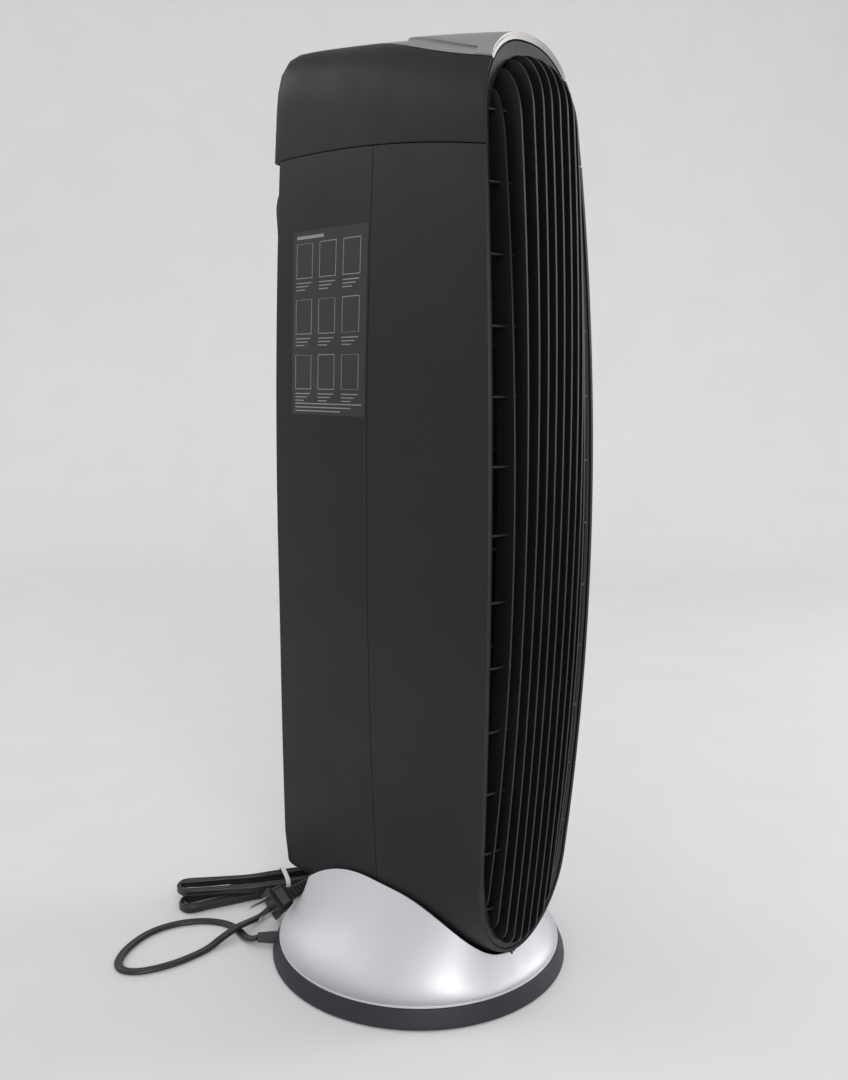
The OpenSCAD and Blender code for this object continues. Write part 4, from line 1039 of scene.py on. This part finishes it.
def add_label():
    """The care sticker, with plain picture frames and bars where the real one has drawings and words."""
    sheet = side_patch(*LABEL_Y, *LABEL_Z, 0.22, 12, 16)
    add_piece("label_sheet", [sheet], "label_gloss", "side_label", LABEL, thickness=0.2, bevel=0.08,
              segments=1, angle=35, limit=60)
    wide, tall, edge, margin = 19.5, 26.5, 0.55, 4
    right, top = LABEL_Y[1] - margin, LABEL_Z[1]
    prints = []
    for row in range(3):
        for col in range(3):
            y0, z1 = right - wide - col * 27.5, top - 9 - row * 42
            y1, z0 = y0 + wide, z1 - tall
            prints += [side_patch(*sides) for sides in ((y0, y1, z1 - edge, z1), (y0, y1, z0, z0 + edge),
                                                        (y0, y0 + edge, z0, z1), (y1 - edge, y1, z0, z1))]
            for bar in range(3):
                z = z0 - 3 - bar * 2.6
                prints.append(side_patch(y1 - wide * (0.95 - 0.2 * bar), y1, z - 0.7, z))
    prints.append(side_patch(right - 32, right, top - 6, top - 3.6))
    for bar in range(3):
        z = LABEL_Z[0] + 9 - bar * 2.8
        prints.append(side_patch(LABEL_Y[0] + 12 * bar + margin, right, z - 0.8, z))
    add_piece("label_print", prints, "label_gloss", "side_label", PRINT, angle=35)


# ---------- everything in place
add_front_shell()
add_rear_shell()
add_cap()
add_bezel()
add_tongue()
for name, y in zip(("power_button", "speed_button", "timer_button"), BUTTON_Y):
    add_button(name, y)
add_lens()
add_front_grille()
add_rear_door()
add_pedestal()
add_ring()
add_plug()
add_tie()
add_label()

# the CAD's own inner pieces get their materials
INNER = {
    DARK: ("base_plate", "saddle", "filter_bulkhead", "fan_floor", "fan_ceiling", "air_scroll", "air_cutoff"),
    ROTOR: ("fan_rotor", "rotor_hub", "board_switches"),
    STEEL: ("base_screws", "door_pins", "rotor_stub", "motor_shaft", "motor_case", "motor_bracket",
            "motor_screws", "board_screws"),
    RUBBER: ("base_feet", "bearing_holder", "filter_seal", "cord_gland"),
    FOAM: ("prefilter",),
    FILTER: ("filter_frame", "filter_media"),
    BRONZE: ("bearing_bush",),
    BOARD: ("control_board",),
}
for material, names in INNER.items():
    for name in names:
        nodes[name].data.materials.clear()
        nodes[name].data.materials.append(material)


# ---------- floor and light
def add_floor():
    """A pale table top that sweeps up into a wall far behind."""
    # the sweep runs along the camera's heading
    ahead = np.array([math.cos(HEADING), math.sin(HEADING)])
    side = np.array([math.sin(HEADING), -math.cos(HEADING)])
    bend_at, bend_r = 1.6, 0.8
    bend = [(bend_at + bend_r * math.sin(a), bend_r - bend_r * math.cos(a))
            for a in np.linspace(0, math.pi / 2, 17)[1:]]
    profile = [(-3, 0), (bend_at, 0)] + bend + [(bend_at + bend_r, 5)]
    points = [(*(ahead * distance + side * x), height) for distance, height in profile for x in (-6, 0, 6)]
    data = bpy.data.meshes.new("sweep")
    data.from_pydata([tuple(map(float, p)) for p in points], [], grid_faces(len(profile), 3))
    data.shade_smooth()
    sweep = bpy.data.objects.new("sweep", data)
    scene.collection.objects.link(sweep)
    data.materials.append(moulded("paper_sweep", (0.8, 0.8, 0.805), (0.82, 0.82, 0.825), (0.55, 0.7), 300,
                                  0.0001, 0.2))


BACKDROP = (0.66, 0.66, 0.67)


def add_world():
    """Even room light, brighter from above and dimmest at the horizon."""
    world = bpy.data.worlds.new("room")
    scene.world = world
    world.use_nodes = True
    tree = world.node_tree
    out = tree.nodes["Background"]
    height = wired(tree, "SeparateXYZ", "Z", Vector=wired(tree, "TexCoord", "Generated"))
    ramp = tree.nodes.new("ShaderNodeValToRGB")
    steps = ((0.0, 0.55), (0.46, 0.2), (0.515, 0.08), (0.6, 0.75), (0.8, 0.8), (1.0, 0.5))
    for position, _ in steps[1:-1]:
        ramp.color_ramp.elements.new(position)
    for element, (position, level) in zip(ramp.color_ramp.elements, steps):
        element.position = position
        element.color = (level, level, 1.02 * level, 1)
    tree.links.new(spread(tree, height, 0.0, 1.0, -1.0, 1.0), ramp.inputs["Fac"])
    # the camera and every reflection see one plain pale backdrop; only diffuse light comes from the ramp
    rays = tree.nodes.new("ShaderNodeLightPath")
    seen = rays.outputs["Is Camera Ray"]
    for name in ("Is Glossy Ray", "Is Transmission Ray"):
        either = tree.nodes.new("ShaderNodeMath")
        either.operation = "MAXIMUM"
        tree.links.new(seen, either.inputs[0])
        tree.links.new(rays.outputs[name], either.inputs[1])
        seen = either.outputs["Value"]
    tree.links.new(mixed(tree, seen, ramp.outputs["Color"], BACKDROP), out.inputs["Color"])


def add_light(name, place, aim, size, power):
    lamp = bpy.data.lights.new(name, "AREA")
    lamp.shape = "RECTANGLE"
    lamp.size, lamp.size_y = size
    lamp.energy = power
    light = bpy.data.objects.new(name, lamp)
    light.location = place
    light.rotation_euler = (Vector(aim) - Vector(place)).to_track_quat("-Z", "Y").to_euler()
    scene.collection.objects.link(light)


add_floor()
add_world()
add_light("key", (-1.3, -2.0, 1.6), (0, 0, 0.3), (1.4, 1.2), 27)
add_light("right", (1.9, -1.1, 0.9), (0, 0, 0.3), (0.8, 1.4), 14)
add_light("window", (-1.0, 2.2, 1.9), (0, 0, 0.5), (1.4, 0.8), 9)
scene.view_settings.view_transform = "Standard"
